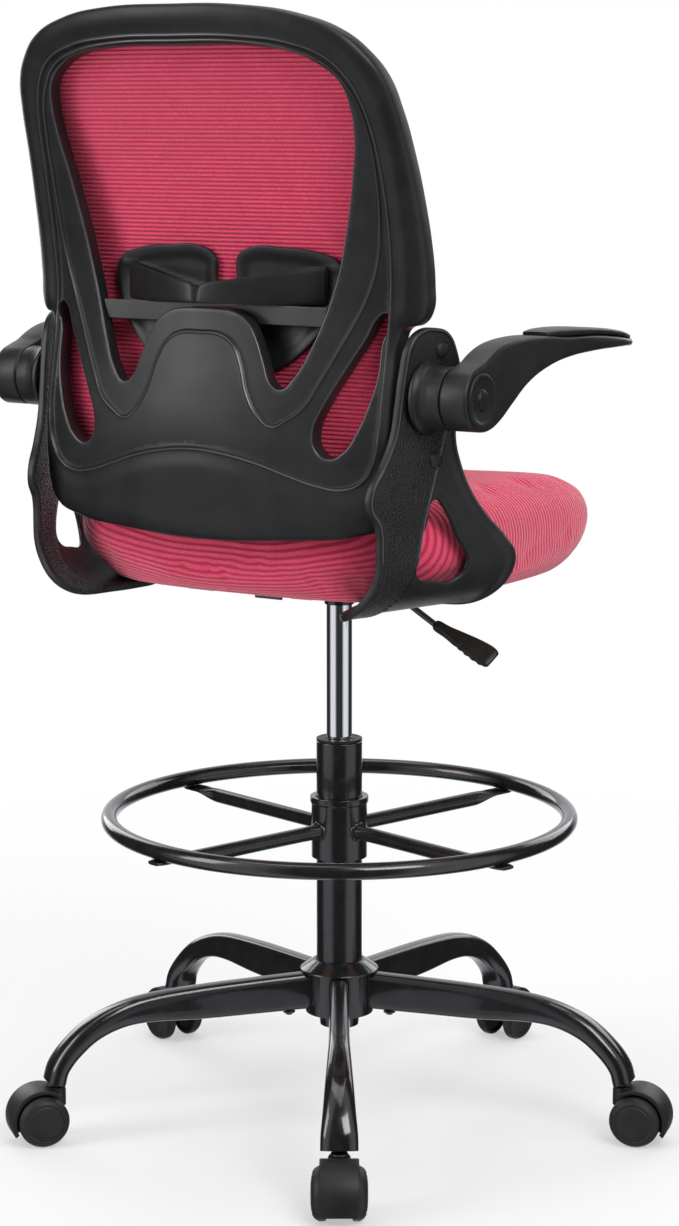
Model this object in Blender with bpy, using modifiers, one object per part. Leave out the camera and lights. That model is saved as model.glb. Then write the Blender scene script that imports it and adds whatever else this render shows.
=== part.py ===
"""Drafting chair: five-star base on casters, gas lift, foot ring, tilting seat, mesh back, flip-up arms.

Metres, +Z up. The sitter faces -Y and the floor is z = 0. The pieces are laid out around the lift
column's axis, and the whole chair is then shifted so that the origin is the middle of its footprint.
"""
import math

import bmesh
import bpy
from mathutils import Matrix, Vector

COLUMN_FROM_ORIGIN = (0.007, 0.023, 0.0)

# ---- Base and casters ----
LEG_COUNT = 5
FIRST_LEG = 122.0            # polar angle of the first leg, degrees
STEM_RADIUS_FROM_AXIS = 0.322
LEG_END_Z = 0.066
HUB_RADIUS = 0.0375
HUB_BOTTOM = 0.115
HUB_TOP = 0.1626
COLLAR_TOP = 0.1745
BOLT_FROM_AXIS = 0.058
WHEEL_RADIUS = 0.0275
WHEEL_SIDES = 18
WHEEL_INNER = 0.0130         # distance of a wheel's inner face from the caster's middle
WHEEL_OUTER = 0.0292
WHEEL_TRAIL = 0.016          # the axle trails the stem by this much
HOOD_RADIUS = 0.0345
HOOD_WALL = 0.0050
HOOD_HALF_WIDTH = 0.020
STEM_RADIUS = 0.0055

# ---- Gas lift ----
TUBE_RADIUS = 0.025
TUBE_BOTTOM = 0.100
TUBE_TOP = 0.4193
TUBE_WALL = 0.0016
TAPER_TOP = 0.150            # below this height the tube narrows to wedge in the hub
BUSHING_BOTTOM = 0.335
BUSHING_TOP = 0.4226
PISTON_RADIUS = 0.014
PISTON_BOTTOM = 0.228
PISTON_TOP = 0.5865

# ---- Foot ring ----
RING_RADIUS = 0.251
RING_TUBE = 0.0088
RING_Z = 0.336
SLEEVE_RADIUS = 0.0305
SLEEVE_BOTTOM = 0.290
SLEEVE_TOP = 0.358
SPOKE_COUNT = 4
FIRST_SPOKE = 74.0
SPOKE_RADIUS = 0.008
SPOKE_Z = 0.322

# ---- Tilt mechanism and lever ----
SOCKET_BOTTOM = 0.570
HOUSING_HALF_WIDTH = 0.036
HOUSING_BOTTOM = 0.5785
HOUSING_FRONT = -0.130
HOUSING_REAR = 0.036
PIN_Y = -0.060
PIN_Z = 0.590
PIN_RADIUS = 0.005
TILT_RELIEF = 0.185          # slope of the housing's top behind the pin
PLATE_BOTTOM = 0.6030
PLATE_TOP = 0.6070
PLATE_HALF_WIDTH = 0.085
PLATE_HALF_DEPTH = 0.110
TAB_HALF_WIDTH = 0.0165       # a tab at the plate's rear, turned down at its end
TAB_END_Y = 0.140
LEVER_Y = -0.020
LEVER_Z = 0.5865
LEVER_PIVOT_X = -0.022
LEVER_ROD_RADIUS = 0.0035
KNOB_Y = -0.106

# ---- Seat ----
SEAT_HALF_WIDTH = 0.249
SEAT_HALF_DEPTH = 0.235
SEAT_CENTRE_Y = 0.005
SEAT_SQUARENESS = 3.4
SEAT_BOTTOM = 0.6073
SEAT_CROWN = 0.720
BOARD_HALF_WIDTH = 0.195
BOARD_HALF_DEPTH = 0.185
BOARD_THICKNESS = 0.012

# ---- Back ----
BACK_BOTTOM = 0.671
BACK_TOP = 1.197
BACK_THICKNESS = 0.0245
MESH_THICKNESS = 0.003
MESH_CLEARANCE = 0.0018      # between the facets of the mesh and of the frame
BAR_BOTTOM = 0.887
BAR_TOP = 0.906
WING_THICKNESS = 0.005

# ---- Arm brackets and arms ----
BRACKET_THICKNESS = 0.0078
BRACKET_BEND_TOP = 0.6642    # below this height the bracket curls in under the seat
BRACKET_BEND_RADIUS = 0.065  # of the outer face
ARM_PIVOT_Y = 0.200
ARM_PIVOT_Z = 0.820
ARM_HUB_RADIUS = 0.031
BOSS_OUTER_X = 0.2556
ARM_OUTER_X = 0.2860
CAP_RADIUS = 0.0265

GAP = 0.0003                 # between solids that touch
MERGE = 0.00001

PLASTIC = ((0.018, 0.018, 0.019), 0.45, 0.0)
PAINTED_STEEL = ((0.012, 0.012, 0.013), 0.25, 0.0)
CHROME = ((0.80, 0.80, 0.82), 0.08, 1.0)
ZINC = ((0.35, 0.35, 0.37), 0.35, 1.0)
PLYWOOD = ((0.46, 0.32, 0.18), 0.7, 0.0)
RED_KNIT = ((0.78, 0.06, 0.12), 0.85, 0.0)


# ---------------------------------------------------------------- scene helpers
def clear_scene():
    for old in list(bpy.data.objects):
        bpy.data.objects.remove(old, do_unlink=True)


def collection(name):
    made = bpy.data.collections.get(name) or bpy.data.collections.new(name)
    if made.name not in bpy.context.scene.collection.children:
        bpy.context.scene.collection.children.link(made)
    return made


def material(obj, look):
    colour, roughness, metallic = look
    made = bpy.data.materials.new(obj.name)
    made.use_nodes = True
    shader = made.node_tree.nodes["Principled BSDF"]
    shader.inputs["Base Color"].default_value = (*colour, 1.0)
    shader.inputs["Roughness"].default_value = roughness
    shader.inputs["Metallic"].default_value = metallic
    made.diffuse_color = (*colour, 1.0)
    obj.data.materials.append(made)


def piece(name, bm, look, origin=(0, 0, 0)):
    """Turn a bmesh in world coordinates into a named piece whose origin is on its joint."""
    bmesh.ops.recalc_face_normals(bm, faces=bm.faces[:])
    mesh = bpy.data.meshes.new(name)
    bm.to_mesh(mesh)
    bm.free()
    mesh.transform(Matrix.Translation(-Vector(origin)))
    mesh.shade_smooth()
    mesh.set_sharp_from_angle(angle=math.radians(35))
    obj = bpy.data.objects.new(name, mesh)
    obj.location = origin
    PARTS.objects.link(obj)
    material(obj, look)
    return obj


def cutter(name, bm):
    """A hidden solid that cuts or joins a piece."""
    bmesh.ops.recalc_face_normals(bm, faces=bm.faces[:])
    mesh = bpy.data.meshes.new(name)
    bm.to_mesh(mesh)
    bm.free()
    obj = bpy.data.objects.new(name, mesh)
    obj.hide_render = True
    obj.display_type = "WIRE"
    CUTTERS.objects.link(obj)
    return obj


def combine(obj, other, operation):
    modifier = obj.modifiers.new(other.name, "BOOLEAN")
    modifier.operation = operation
    modifier.solver = "EXACT"
    modifier.object = other


def cut(obj, bm):
    combine(obj, cutter(obj.name + "_cut", bm), "DIFFERENCE")


def join(obj, bm):
    combine(obj, cutter(obj.name + "_join", bm), "UNION")


# ---------------------------------------------------------------- shape helpers
def box(low, high):
    bm = bmesh.new()
    bmesh.ops.create_cube(bm, size=1.0)
    low, high = Vector(low), Vector(high)
    size = high - low
    bmesh.ops.scale(bm, vec=size, verts=bm.verts)
    bmesh.ops.translate(bm, vec=(low + high) / 2, verts=bm.verts)
    return bm


def cylinder(start, end, radius, end_radius=None, sides=24):
    start, end = Vector(start), Vector(end)
    along = end - start
    bm = bmesh.new()
    bmesh.ops.create_cone(bm, cap_ends=True, segments=sides, radius1=radius,
                          radius2=radius if end_radius is None else end_radius, depth=along.length)
    turn = along.to_track_quat("Z", "Y").to_matrix().to_4x4()
    bmesh.ops.transform(bm, matrix=Matrix.Translation((start + end) / 2) @ turn, verts=bm.verts)
    return bm


def turned(name, profile, look, sides, location=(0, 0, 0), rotation=(0, 0, 0)):
    """A turned piece: (radius, height) points run down its outer side and back up the bore."""
    bm = bmesh.new()
    points = [bm.verts.new((radius, 0, height)) for radius, height in profile]
    for first, second in zip(points, points[1:]):
        bm.edges.new((first, second))
    if min(profile[0][0], profile[-1][0]) > MERGE:
        bm.edges.new((points[-1], points[0]))
    mesh = bpy.data.meshes.new(name)
    bm.to_mesh(mesh)
    bm.free()
    obj = bpy.data.objects.new(name, mesh)
    PARTS.objects.link(obj)
    screw = obj.modifiers.new("Turn", "SCREW")
    screw.steps = sides
    screw.render_steps = sides
    screw.use_merge_vertices = True
    screw.merge_threshold = MERGE
    obj.location = location
    obj.rotation_euler = rotation
    material(obj, look)
    return obj


def loft(rings):
    """A closed skin over rings that hold the same number of points."""
    bm = bmesh.new()
    loops = [[bm.verts.new(point) for point in ring] for ring in rings]
    count = len(loops[0])
    for near, far in zip(loops, loops[1:]):
        for i in range(count):
            j = (i + 1) % count
            bm.faces.new((near[i], near[j], far[j], far[i]))
    bm.faces.new(loops[0])
    bm.faces.new(loops[-1])
    bmesh.ops.recalc_face_normals(bm, faces=bm.faces[:])
    return bm


def rounded_section(half_width, half_height, squareness=4.0, count=12):
    """Points of a superellipse, as (across, up) pairs."""
    points = []
    for i in range(count):
        angle = 2 * math.pi * (i + 0.5) / count
        c, s = math.cos(angle), math.sin(angle)
        across = math.copysign(abs(c) ** (2 / squareness), c) * half_width
        up = math.copysign(abs(s) ** (2 / squareness), s) * half_height
        points.append((across, up))
    return points


def sheet(outlines, thickness, place, steps_x, steps_y, resolution=2):
    """A flat outline with holes, cut into strips, then bent by place(x, y, depth) -> world point."""
    curve = bpy.data.curves.new("outline", "CURVE")
    curve.dimensions = "2D"
    curve.fill_mode = "BOTH"
    curve.extrude = thickness / 2
    curve.resolution_u = resolution
    curve.render_resolution_u = 0
    for outline in outlines:
        spline = curve.splines.new("BEZIER")
        spline.bezier_points.add(len(outline) - 1)
        for point, (x, y) in zip(spline.bezier_points, outline):
            point.co = (x, y, 0)
            point.handle_left_type = "AUTO"
            point.handle_right_type = "AUTO"
        spline.use_cyclic_u = True
    holder = bpy.data.objects.new("outline", curve)
    CUTTERS.objects.link(holder)
    evaluated = holder.evaluated_get(bpy.context.evaluated_depsgraph_get())
    flat = bpy.data.meshes.new_from_object(evaluated)
    bpy.data.objects.remove(holder)
    bm = bmesh.new()
    bm.from_mesh(flat)
    bmesh.ops.remove_doubles(bm, verts=bm.verts, dist=MERGE)
    for axis, cuts in ((0, steps_x), (1, steps_y)):
        normal = Vector((axis == 0, axis == 1, 0))
        for step in cuts:
            bmesh.ops.bisect_plane(bm, geom=bm.verts[:] + bm.edges[:] + bm.faces[:],
                                   dist=MERGE, plane_co=normal * step, plane_no=normal)

    def on_a_cut(edge):
        return any(all(abs(vertex.co[axis] - step) < MERGE for vertex in edge.verts)
                   for axis, cuts in ((0, steps_x), (1, steps_y)) for step in cuts)

    bm.normal_update()
    inside = [edge for edge in bm.edges
              if edge.is_manifold and all(abs(face.normal.z) > 0.9 for face in edge.link_faces)
              and not on_a_cut(edge)]
    bmesh.ops.dissolve_edges(bm, edges=inside, use_verts=True)
    for vertex in bm.verts:
        x, y, depth = vertex.co
        vertex.co = place(x, y, depth + thickness / 2)
    return bm


def steps(low, high, count):
    """Evenly spaced places strictly between low and high."""
    return [low + (high - low) * (i + 1) / (count + 1) for i in range(count)]


def mirrored(half):
    """A half outline with x >= 0, from the middle of the top to the middle of the bottom."""
    return half + [(-x, y) for x, y in reversed(half) if x > MERGE]


def both_sides(build):
    for side, sign in (("left", 1), ("right", -1)):
        build(side, sign)


def polar(radius, degrees, z):
    angle = math.radians(degrees)
    return Vector((radius * math.cos(angle), radius * math.sin(angle), z))


def spline_value(knots, at):
    """Smooth interpolation through (place, value) knots."""
    places = [place for place, _ in knots]
    values = [value for _, value in knots]
    last = len(knots) - 1

    def slope(i):
        a, b = max(i - 1, 0), min(i + 1, last)
        return (values[b] - values[a]) / (places[b] - places[a])

    at = min(max(at, places[0]), places[-1])
    i = next(k for k in range(last) if at <= places[k + 1])
    width = places[i + 1] - places[i]
    t = (at - places[i]) / width
    return ((2 * t**3 - 3 * t**2 + 1) * values[i] + (t**3 - 2 * t**2 + t) * width * slope(i)
            + (3 * t**2 - 2 * t**3) * values[i + 1] + (t**3 - t**2) * width * slope(i + 1))


# ---------------------------------------------------------------- base
def leg_skin():
    """One leg, lying along +X: tall and narrow at the hub, curving down to a flat wide end."""
    stations = [  # distance from the axis, height, section height, section width
        (HUB_RADIUS + 0.0008, 0.1415, 0.041, 0.020),
        (0.160, 0.1392, 0.037, 0.022),
        (0.215, 0.1380, 0.031, 0.023),
        (0.250, 0.1320, 0.027, 0.026),
        (0.280, 0.1190, 0.025, 0.030),
        (0.303, 0.1000, 0.024, 0.034),
        (0.317, 0.0820, 0.023, 0.038),
        (STEM_RADIUS_FROM_AXIS, LEG_END_Z, 0.023, 0.039),
    ]
    rings = []
    for i, (reach, height, tall, wide) in enumerate(stations):
        before, after = stations[max(i - 1, 0)], stations[min(i + 1, len(stations) - 1)]
        along = Vector((after[0] - before[0], 0, after[1] - before[1])).normalized()
        if i == 0:
            along = Vector((1, 0, 0))
        if i == len(stations) - 1:
            along = Vector((0, 0, -1))
        up = Vector((0, -1, 0)).cross(along)
        centre = Vector((reach, 0, height))
        rings.append([centre + Vector((0, 1, 0)) * across + up * rise
                      for across, rise in rounded_section(wide / 2, tall / 2, count=10)])
    return loft(rings)


def build_base():
    hub = [
        (HUB_RADIUS, HUB_TOP), (HUB_RADIUS, HUB_BOTTOM), (0.0236, HUB_BOTTOM),
        (TUBE_RADIUS + GAP, TAPER_TOP), (TUBE_RADIUS + GAP, COLLAR_TOP), (0.0275, COLLAR_TOP),
        (0.043, HUB_TOP + 0.001), (0.043, HUB_TOP),
    ]
    turned("base_hub", hub, PAINTED_STEEL, 24)
    for number in range(LEG_COUNT):
        angle = FIRST_LEG + 360 / LEG_COUNT * number
        turn = Matrix.Rotation(math.radians(angle), 4, "Z")
        skin = leg_skin()
        skin.transform(turn)
        leg = piece(f"base_leg_{number + 1}", skin, PAINTED_STEEL)
        stem = polar(STEM_RADIUS_FROM_AXIS, angle, 0)
        up = Vector((0, 0, 1))
        mouth = stem + up * (LEG_END_Z - 0.002)
        cut(leg, cylinder(mouth, mouth + up * 0.021, STEM_RADIUS + GAP))
        place = polar(BOLT_FROM_AXIS, angle, 0)
        cut(leg, cylinder(place + up * 0.118, place + up * 0.136, 0.0034, sides=10))
        bolt = [(0.0, 0.135), (0.003, 0.135), (0.003, 0.1203), (0.0065, 0.1203), (0.0052, 0.1168),
                (0.0, 0.1155)]
        turned(f"leg_bolt_{number + 1}", bolt, ZINC, 10, location=place)


# ---------------------------------------------------------------- casters
def arc(centre, radius, start, end, count):
    return [(centre[0] + radius * math.cos(math.radians(start + (end - start) * i / (count - 1))),
             centre[1] + radius * math.sin(math.radians(start + (end - start) * i / (count - 1))))
            for i in range(count)]


def slab(outline, half_width, frame):
    """An outline in the caster's (outward, up) plane, made as thick as the caster's width."""
    near = [frame @ Vector((x, -half_width, z)) for x, z in outline]
    far = [frame @ Vector((x, half_width, z)) for x, z in outline]
    return loft([near, far])


def build_caster(number):
    angle = FIRST_LEG + 360 / LEG_COUNT * (number - 1)
    stem = polar(STEM_RADIUS_FROM_AXIS, angle, 0)
    frame = Matrix.Translation(stem) @ Matrix.Rotation(math.radians(angle), 4, "Z")
    axle = (WHEEL_TRAIL, WHEEL_RADIUS)
    lowest, highest = -28, 125
    inner = HOOD_RADIUS - HOOD_WALL
    shell = arc(axle, HOOD_RADIUS, lowest, highest, 8) + arc(axle, inner, highest, lowest, 8)
    web = arc(axle, inner + 0.001, lowest, highest, 6) + arc(axle, 0.010, 160, 300, 3)
    hood = piece(f"caster_hood_{number}", slab(shell, HOOD_HALF_WIDTH, frame), PLASTIC, origin=stem)
    join(hood, slab(web, WHEEL_INNER - 0.0006, frame))

    def upright(low, high, radius):
        return cylinder(frame @ Vector((0, 0, low)), frame @ Vector((0, 0, high)), radius, sides=12)

    join(hood, upright(0.040, 0.0615, 0.0115))
    axle_half = WHEEL_OUTER - 0.004
    ends = [frame @ Vector((axle[0], across, axle[1])) for across in (-axle_half, axle_half)]
    join(hood, cylinder(*ends, 0.003, sides=8))
    cut(hood, upright(0.048, 0.070, STEM_RADIUS + GAP))
    stem_profile = [(0.0, 0.083), (STEM_RADIUS, 0.083), (STEM_RADIUS, 0.0655), (0.009, 0.0655),
                    (0.009, 0.0619), (STEM_RADIUS, 0.0619), (STEM_RADIUS, 0.0490), (0.0, 0.0490)]
    turned(f"caster_stem_{number}", stem_profile, ZINC, 10, location=stem)
    rim = WHEEL_RADIUS / math.cos(math.pi / WHEEL_SIDES)
    wheel = [
        (0.0, WHEEL_OUTER), (0.019, WHEEL_OUTER - 0.0020), (rim, WHEEL_OUTER - 0.0075),
        (rim, WHEEL_INNER), (0.0034, WHEEL_INNER), (0.0034, WHEEL_OUTER - 0.0036),
        (0.0, WHEEL_OUTER - 0.0036),
    ]
    centre = frame @ Vector((axle[0], 0, axle[1]))
    for letter, lean in (("a", -90), ("b", 90)):
        turn = (Matrix.Rotation(math.radians(angle), 4, "Z")
                @ Matrix.Rotation(math.radians(lean), 4, "X")
                @ Matrix.Rotation(math.pi / 2 - math.pi / WHEEL_SIDES, 4, "Z"))
        turned(f"caster_wheel_{number}{letter}", wheel, PLASTIC, WHEEL_SIDES,
               location=centre, rotation=turn.to_euler())


# ---------------------------------------------------------------- gas lift and foot ring
def build_lift():
    bore = TUBE_RADIUS - TUBE_WALL
    tube = [(0.0, TUBE_BOTTOM + 0.004), (bore - 0.003, TUBE_BOTTOM + 0.004), (bore, 0.140), (bore, TUBE_TOP),
            (TUBE_RADIUS, TUBE_TOP), (TUBE_RADIUS, TAPER_TOP), (0.0228, 0.116), (0.0213, TUBE_BOTTOM),
            (0.0, TUBE_BOTTOM)]
    turned("column_tube", tube, PAINTED_STEEL, 24)
    inside, slide = bore - GAP, PISTON_RADIUS + GAP
    bushing = [(inside, TUBE_TOP + GAP), (inside, BUSHING_BOTTOM), (slide, BUSHING_BOTTOM),
               (slide, BUSHING_TOP), (TUBE_RADIUS, BUSHING_TOP), (TUBE_RADIUS, TUBE_TOP + GAP)]
    turned("column_bushing", bushing, PLASTIC, 24)
    piston = [(0.0, PISTON_TOP), (PISTON_RADIUS - 0.0006, PISTON_TOP), (PISTON_RADIUS, PISTON_TOP - 0.004),
              (PISTON_RADIUS, PISTON_BOTTOM), (0.0, PISTON_BOTTOM)]
    turned("gas_piston", piston, CHROME, 24)


def build_foot_ring():
    bpy.ops.mesh.primitive_torus_add(major_radius=RING_RADIUS, minor_radius=RING_TUBE,
                                     major_segments=48, minor_segments=8, location=(0, 0, RING_Z))
    ring = bpy.context.object
    ring.name = "foot_ring"
    for holder in list(ring.users_collection):
        holder.objects.unlink(ring)
    PARTS.objects.link(ring)
    ring.data.shade_smooth()
    material(ring, PAINTED_STEEL)
    bore = TUBE_RADIUS + 0.0004
    sleeve = [(SLEEVE_RADIUS + 0.0015, SLEEVE_TOP), (SLEEVE_RADIUS + 0.0015, SLEEVE_TOP - 0.006),
              (SLEEVE_RADIUS, SLEEVE_TOP - 0.008), (SLEEVE_RADIUS, SLEEVE_BOTTOM), (bore, SLEEVE_BOTTOM),
              (bore, SLEEVE_TOP)]
    spider = turned("foot_ring_spider", sleeve, PAINTED_STEEL, 24)
    under_ring = RING_Z - RING_TUBE - GAP - 0.002
    for number in range(SPOKE_COUNT):
        turn = Matrix.Rotation(math.radians(FIRST_SPOKE + 360 / SPOKE_COUNT * number), 4, "Z")
        rings = []
        for reach, height, across, rise in (
                (SLEEVE_RADIUS - 0.003, SPOKE_Z, SPOKE_RADIUS, SPOKE_RADIUS),
                (0.214, SPOKE_Z, SPOKE_RADIUS, SPOKE_RADIUS),
                (0.236, under_ring, 0.0115, 0.002),
                (RING_RADIUS + 0.009, under_ring, 0.0105, 0.002)):
            rings.append([turn @ Vector((reach, a, height + u))
                          for a, u in rounded_section(across, rise, squareness=2.0, count=12)])
        join(spider, loft(rings))


# ---------------------------------------------------------------- tilt mechanism and lever
def build_mechanism():
    def top(y):
        return PLATE_BOTTOM - 0.0015 - TILT_RELIEF * max(y - PIN_Y, 0)

    side = [(HOUSING_FRONT, HOUSING_BOTTOM + 0.006), (HOUSING_FRONT + 0.010, HOUSING_BOTTOM),
            (HOUSING_REAR, HOUSING_BOTTOM), (HOUSING_REAR, top(HOUSING_REAR)), (PIN_Y, top(PIN_Y)),
            (HOUSING_FRONT + 0.02, top(PIN_Y) - 0.004), (HOUSING_FRONT, HOUSING_BOTTOM + 0.014)]
    rings = [[Vector((x, y, z)) for y, z in side] for x in (-HOUSING_HALF_WIDTH, HOUSING_HALF_WIDTH)]
    housing = piece("tilt_housing", loft(rings), PAINTED_STEEL)
    join(housing, cylinder((0, 0, SOCKET_BOTTOM), (0, 0, HOUSING_BOTTOM + 0.002), PISTON_RADIUS + 0.0022))
    cut(housing, cylinder((0, 0, SOCKET_BOTTOM - 0.002), (0, 0, PISTON_TOP + GAP), PISTON_RADIUS + GAP))
    reach = HOUSING_HALF_WIDTH + 0.002
    cut(housing, cylinder((-reach, PIN_Y, PIN_Z), (reach, PIN_Y, PIN_Z), PIN_RADIUS + GAP, sides=12))
    slot = LEVER_ROD_RADIUS + 0.0006
    slot_low = (-reach, LEVER_Y - slot, LEVER_Z - 0.0053)
    cut(housing, box(slot_low, (-0.0105, LEVER_Y + slot, LEVER_Z + 0.0062)))
    knob_low = Vector((0, KNOB_Y, HOUSING_BOTTOM - 0.002))
    cut(housing, cylinder(knob_low, knob_low + Vector((0, 0, 0.012)), 0.0043, sides=16))

    half_x, half_y, tab, tab_end = PLATE_HALF_WIDTH, PLATE_HALF_DEPTH, TAB_HALF_WIDTH, TAB_END_Y
    body = box((-half_x, -half_y, PLATE_BOTTOM), (half_x, half_y, PLATE_TOP))
    plate = piece("seat_plate", body, PAINTED_STEEL)
    join(plate, box((-tab, half_y - 0.010, PLATE_BOTTOM), (tab, tab_end, PLATE_TOP)))
    join(plate, box((-tab, tab_end - 0.003, PLATE_BOTTOM - 0.009), (tab, tab_end, PLATE_TOP - 0.001)))
    for sign in (-1, 1):
        near, far = sorted((sign * (HOUSING_HALF_WIDTH + 0.003), sign * (HOUSING_HALF_WIDTH + 0.006)))
        join(plate, box((near, PIN_Y - 0.016, PIN_Z - 0.009), (far, PIN_Y + 0.016, PLATE_BOTTOM + 0.002)))
    cut(plate, cylinder((-0.06, PIN_Y, PIN_Z), (0.06, PIN_Y, PIN_Z), PIN_RADIUS + GAP, sides=12))
    end = HOUSING_HALF_WIDTH + 0.0095
    pin = [(0.0, end), (0.0072, end), (0.0072, end - 0.003), (PIN_RADIUS, end - 0.003),
           (PIN_RADIUS, 0.003 - end), (0.0072, 0.003 - end), (0.0072, -end), (0.0, -end)]
    turned("tilt_pin", pin, ZINC, 12, location=(0, PIN_Y, PIN_Z), rotation=(0, math.pi / 2, 0))
    knob = [(0.0, 0.0096), (0.004, 0.0096), (0.004, -0.0004), (0.0185, -0.0004), (0.020, -0.003),
            (0.020, -0.009), (0.0165, -0.013), (0.0, -0.013)]
    turned("tension_knob", knob, PLASTIC, 16, location=(0, KNOB_Y, HOUSING_BOTTOM))


def build_lever():
    route = [Vector((-0.0120, LEVER_Y, LEVER_Z)), Vector((-0.046, LEVER_Y, LEVER_Z)),
             Vector((-0.052, LEVER_Y, 0.5856)), Vector((-0.059, LEVER_Y, 0.5826)),
             Vector((-0.116, LEVER_Y, 0.5490)), Vector((-0.128, LEVER_Y, 0.5425))]
    rings = []
    for i, point in enumerate(route):
        along = (route[min(i + 1, len(route) - 1)] - route[max(i - 1, 0)]).normalized()
        up = along.cross(Vector((0, 1, 0)))
        rings.append([point + Vector((0, 1, 0)) * a + up * b
                      for a, b in rounded_section(LEVER_ROD_RADIUS, LEVER_ROD_RADIUS, 2.0, 12)])
    pivot = (LEVER_PIVOT_X, LEVER_Y, LEVER_Z)
    piece("lever_rod", loft(rings), PAINTED_STEEL, origin=pivot)

    start, tip = Vector((-0.110, LEVER_Y, 0.5527)), Vector((-0.178, LEVER_Y, 0.5225))
    along = (tip - start).normalized()
    facing = Vector((0, 0.62, 0.78))
    across = along.cross(facing).normalized()
    facing = across.cross(along)
    rings = []
    for part, wide, thick in ((0, 0.011, 0.011), (0.25, 0.013, 0.011), (0.5, 0.020, 0.010),
                              (0.85, 0.026, 0.008), (1.0, 0.021, 0.006)):
        centre = start.lerp(tip, part)
        rings.append([centre + across * a + facing * b
                      for a, b in rounded_section(wide / 2, thick / 2, 3.0, 12)])
    paddle = piece("lever_paddle", loft(rings), PLASTIC, origin=pivot)
    rod_way = (route[-1] - route[-2]).normalized()
    hole_start, hole_end = route[-2] - rod_way * 0.02, route[-1] + rod_way * GAP
    cut(paddle, cylinder(hole_start, hole_end, LEVER_ROD_RADIUS + 0.0005, sides=12))


# ---------------------------------------------------------------- seat
def seat_ring(scale_x, scale_y, height, count=32):
    """A superellipse at one height of the seat, or a height that depends on y."""
    ring = []
    for x, y in rounded_section(scale_x, scale_y, SEAT_SQUARENESS, count):
        z = height(y) if callable(height) else height
        ring.append(Vector((x, y + SEAT_CENTRE_Y, z)))
    return ring


def build_seat():
    board_top = SEAT_BOTTOM + BOARD_THICKNESS
    board = loft([seat_ring(BOARD_HALF_WIDTH, BOARD_HALF_DEPTH, z) for z in (SEAT_BOTTOM, board_top)])
    piece("seat_board", board, PLYWOOD, origin=(0, PIN_Y, PIN_Z))

    rings = []
    for part, height in ((0.800, SEAT_BOTTOM), (0.855, 0.612), (0.922, 0.624), (0.972, 0.642), (1.0, 0.665),
                         (0.993, 0.680), (0.965, 0.698), (0.90, 0.710), (0.75, 0.716), (0.5, 0.7185),
                         (0.2, SEAT_CROWN)):
        share = max(0.0, (height - 0.655) / (SEAT_CROWN - 0.655))

        def dropped(y, height=height, share=share):
            return height - 0.030 * share * max(0.0, -y / SEAT_HALF_DEPTH - 0.2) ** 2
        rings.append(seat_ring(SEAT_HALF_WIDTH * part, SEAT_HALF_DEPTH * part, dropped))
    cushion = piece("seat_cushion", loft(rings), RED_KNIT, origin=(0, PIN_Y, PIN_Z))
    recess = [seat_ring(BOARD_HALF_WIDTH + 0.0004, BOARD_HALF_DEPTH + 0.0004, z)
              for z in (SEAT_BOTTOM - 0.004, board_top + GAP)]
    cut(cushion, loft(recess))


# ---------------------------------------------------------------- back
MIDLINE = [(0.671, 0.268), (0.78, 0.281), (0.93, 0.264), (1.06, 0.278), (1.197, 0.322)]
HOLLOW = [(0.671, 0.65), (0.78, 0.77), (0.90, 0.86), (1.02, 0.64), (1.10, 0.50), (1.197, 0.50)]
OUTER_HALF = [
    (0.0, 1.197), (0.080, 1.195), (0.137, 1.186), (0.178, 1.170), (0.2005, 1.150), (0.2145, 1.128),
    (0.2220, 1.096), (0.2265, 1.055), (0.2295, 1.015), (0.2318, 0.970), (0.2325, 0.930), (0.2310, 0.903),
    (0.2240, 0.8915), (0.2130, 0.8875), (0.2090, 0.876), (0.2075, 0.840), (0.2070, 0.790), (0.2070, 0.740), (0.2055, 0.715),
    (0.1960, 0.694), (0.172, 0.684), (0.100, 0.676), (0.0, 0.671),
]
OPENING_HALF = [
    (0.0, 1.157), (0.085, 1.156), (0.126, 1.150), (0.153, 1.138), (0.170, 1.122), (0.1760, 1.100),
    (0.1755, 1.070), (0.169, 1.035), (0.157, 0.980), (0.143, 0.925), (0.121, 0.863), (0.1075, 0.838),
    (0.0945, 0.8262), (0.0840, 0.8310), (0.0745, 0.851), (0.0650, 0.873), (0.0540, 0.890), (0.0400, 0.899),
    (0.0200, 0.9025), (0.0, 0.903),
]
SLOT = [
    (0.1955, 0.902), (0.1925, 0.870), (0.1915, 0.840), (0.1860, 0.815), (0.1760, 0.788), (0.1630, 0.768),
    (0.1470, 0.7605), (0.1350, 0.769), (0.1325, 0.788), (0.1410, 0.810), (0.1580, 0.842), (0.1770, 0.876),
    (0.1900, 0.900),
]
MESH_HALF = [
    (0.0, 1.188), (0.080, 1.186), (0.132, 1.178), (0.172, 1.163), (0.194, 1.144), (0.208, 1.120),
    (0.216, 1.080), (0.221, 1.020), (0.224, 0.950), (0.219, 0.915), (0.2030, 0.888), (0.2010, 0.840),
    (0.2010, 0.745), (0.197, 0.716), (0.186, 0.702), (0.160, 0.693), (0.080, 0.686), (0.0, 0.683),
]
WING = [
    (0.0120, 0.932), (0.0140, 0.952), (0.0280, 0.9610), (0.070, 0.962), (0.112, 0.957), (0.132, 0.948),
    (0.1390, 0.930), (0.1320, 0.906), (0.1150, 0.880), (0.093, 0.857), (0.068, 0.841), (0.046, 0.8355),
    (0.028, 0.842), (0.0165, 0.858), (0.0115, 0.880), (0.0115, 0.905),
]


def back_rear(x, z):
    """y of the back frame's rear face: it curves forward at the sides and at the lumbar."""
    return spline_value(MIDLINE, z) - spline_value(HOLLOW, z) * x * x


def smoothstep(low, high, at):
    t = min(max((at - low) / (high - low), 0.0), 1.0)
    return t * t * (3 - 2 * t)


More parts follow.
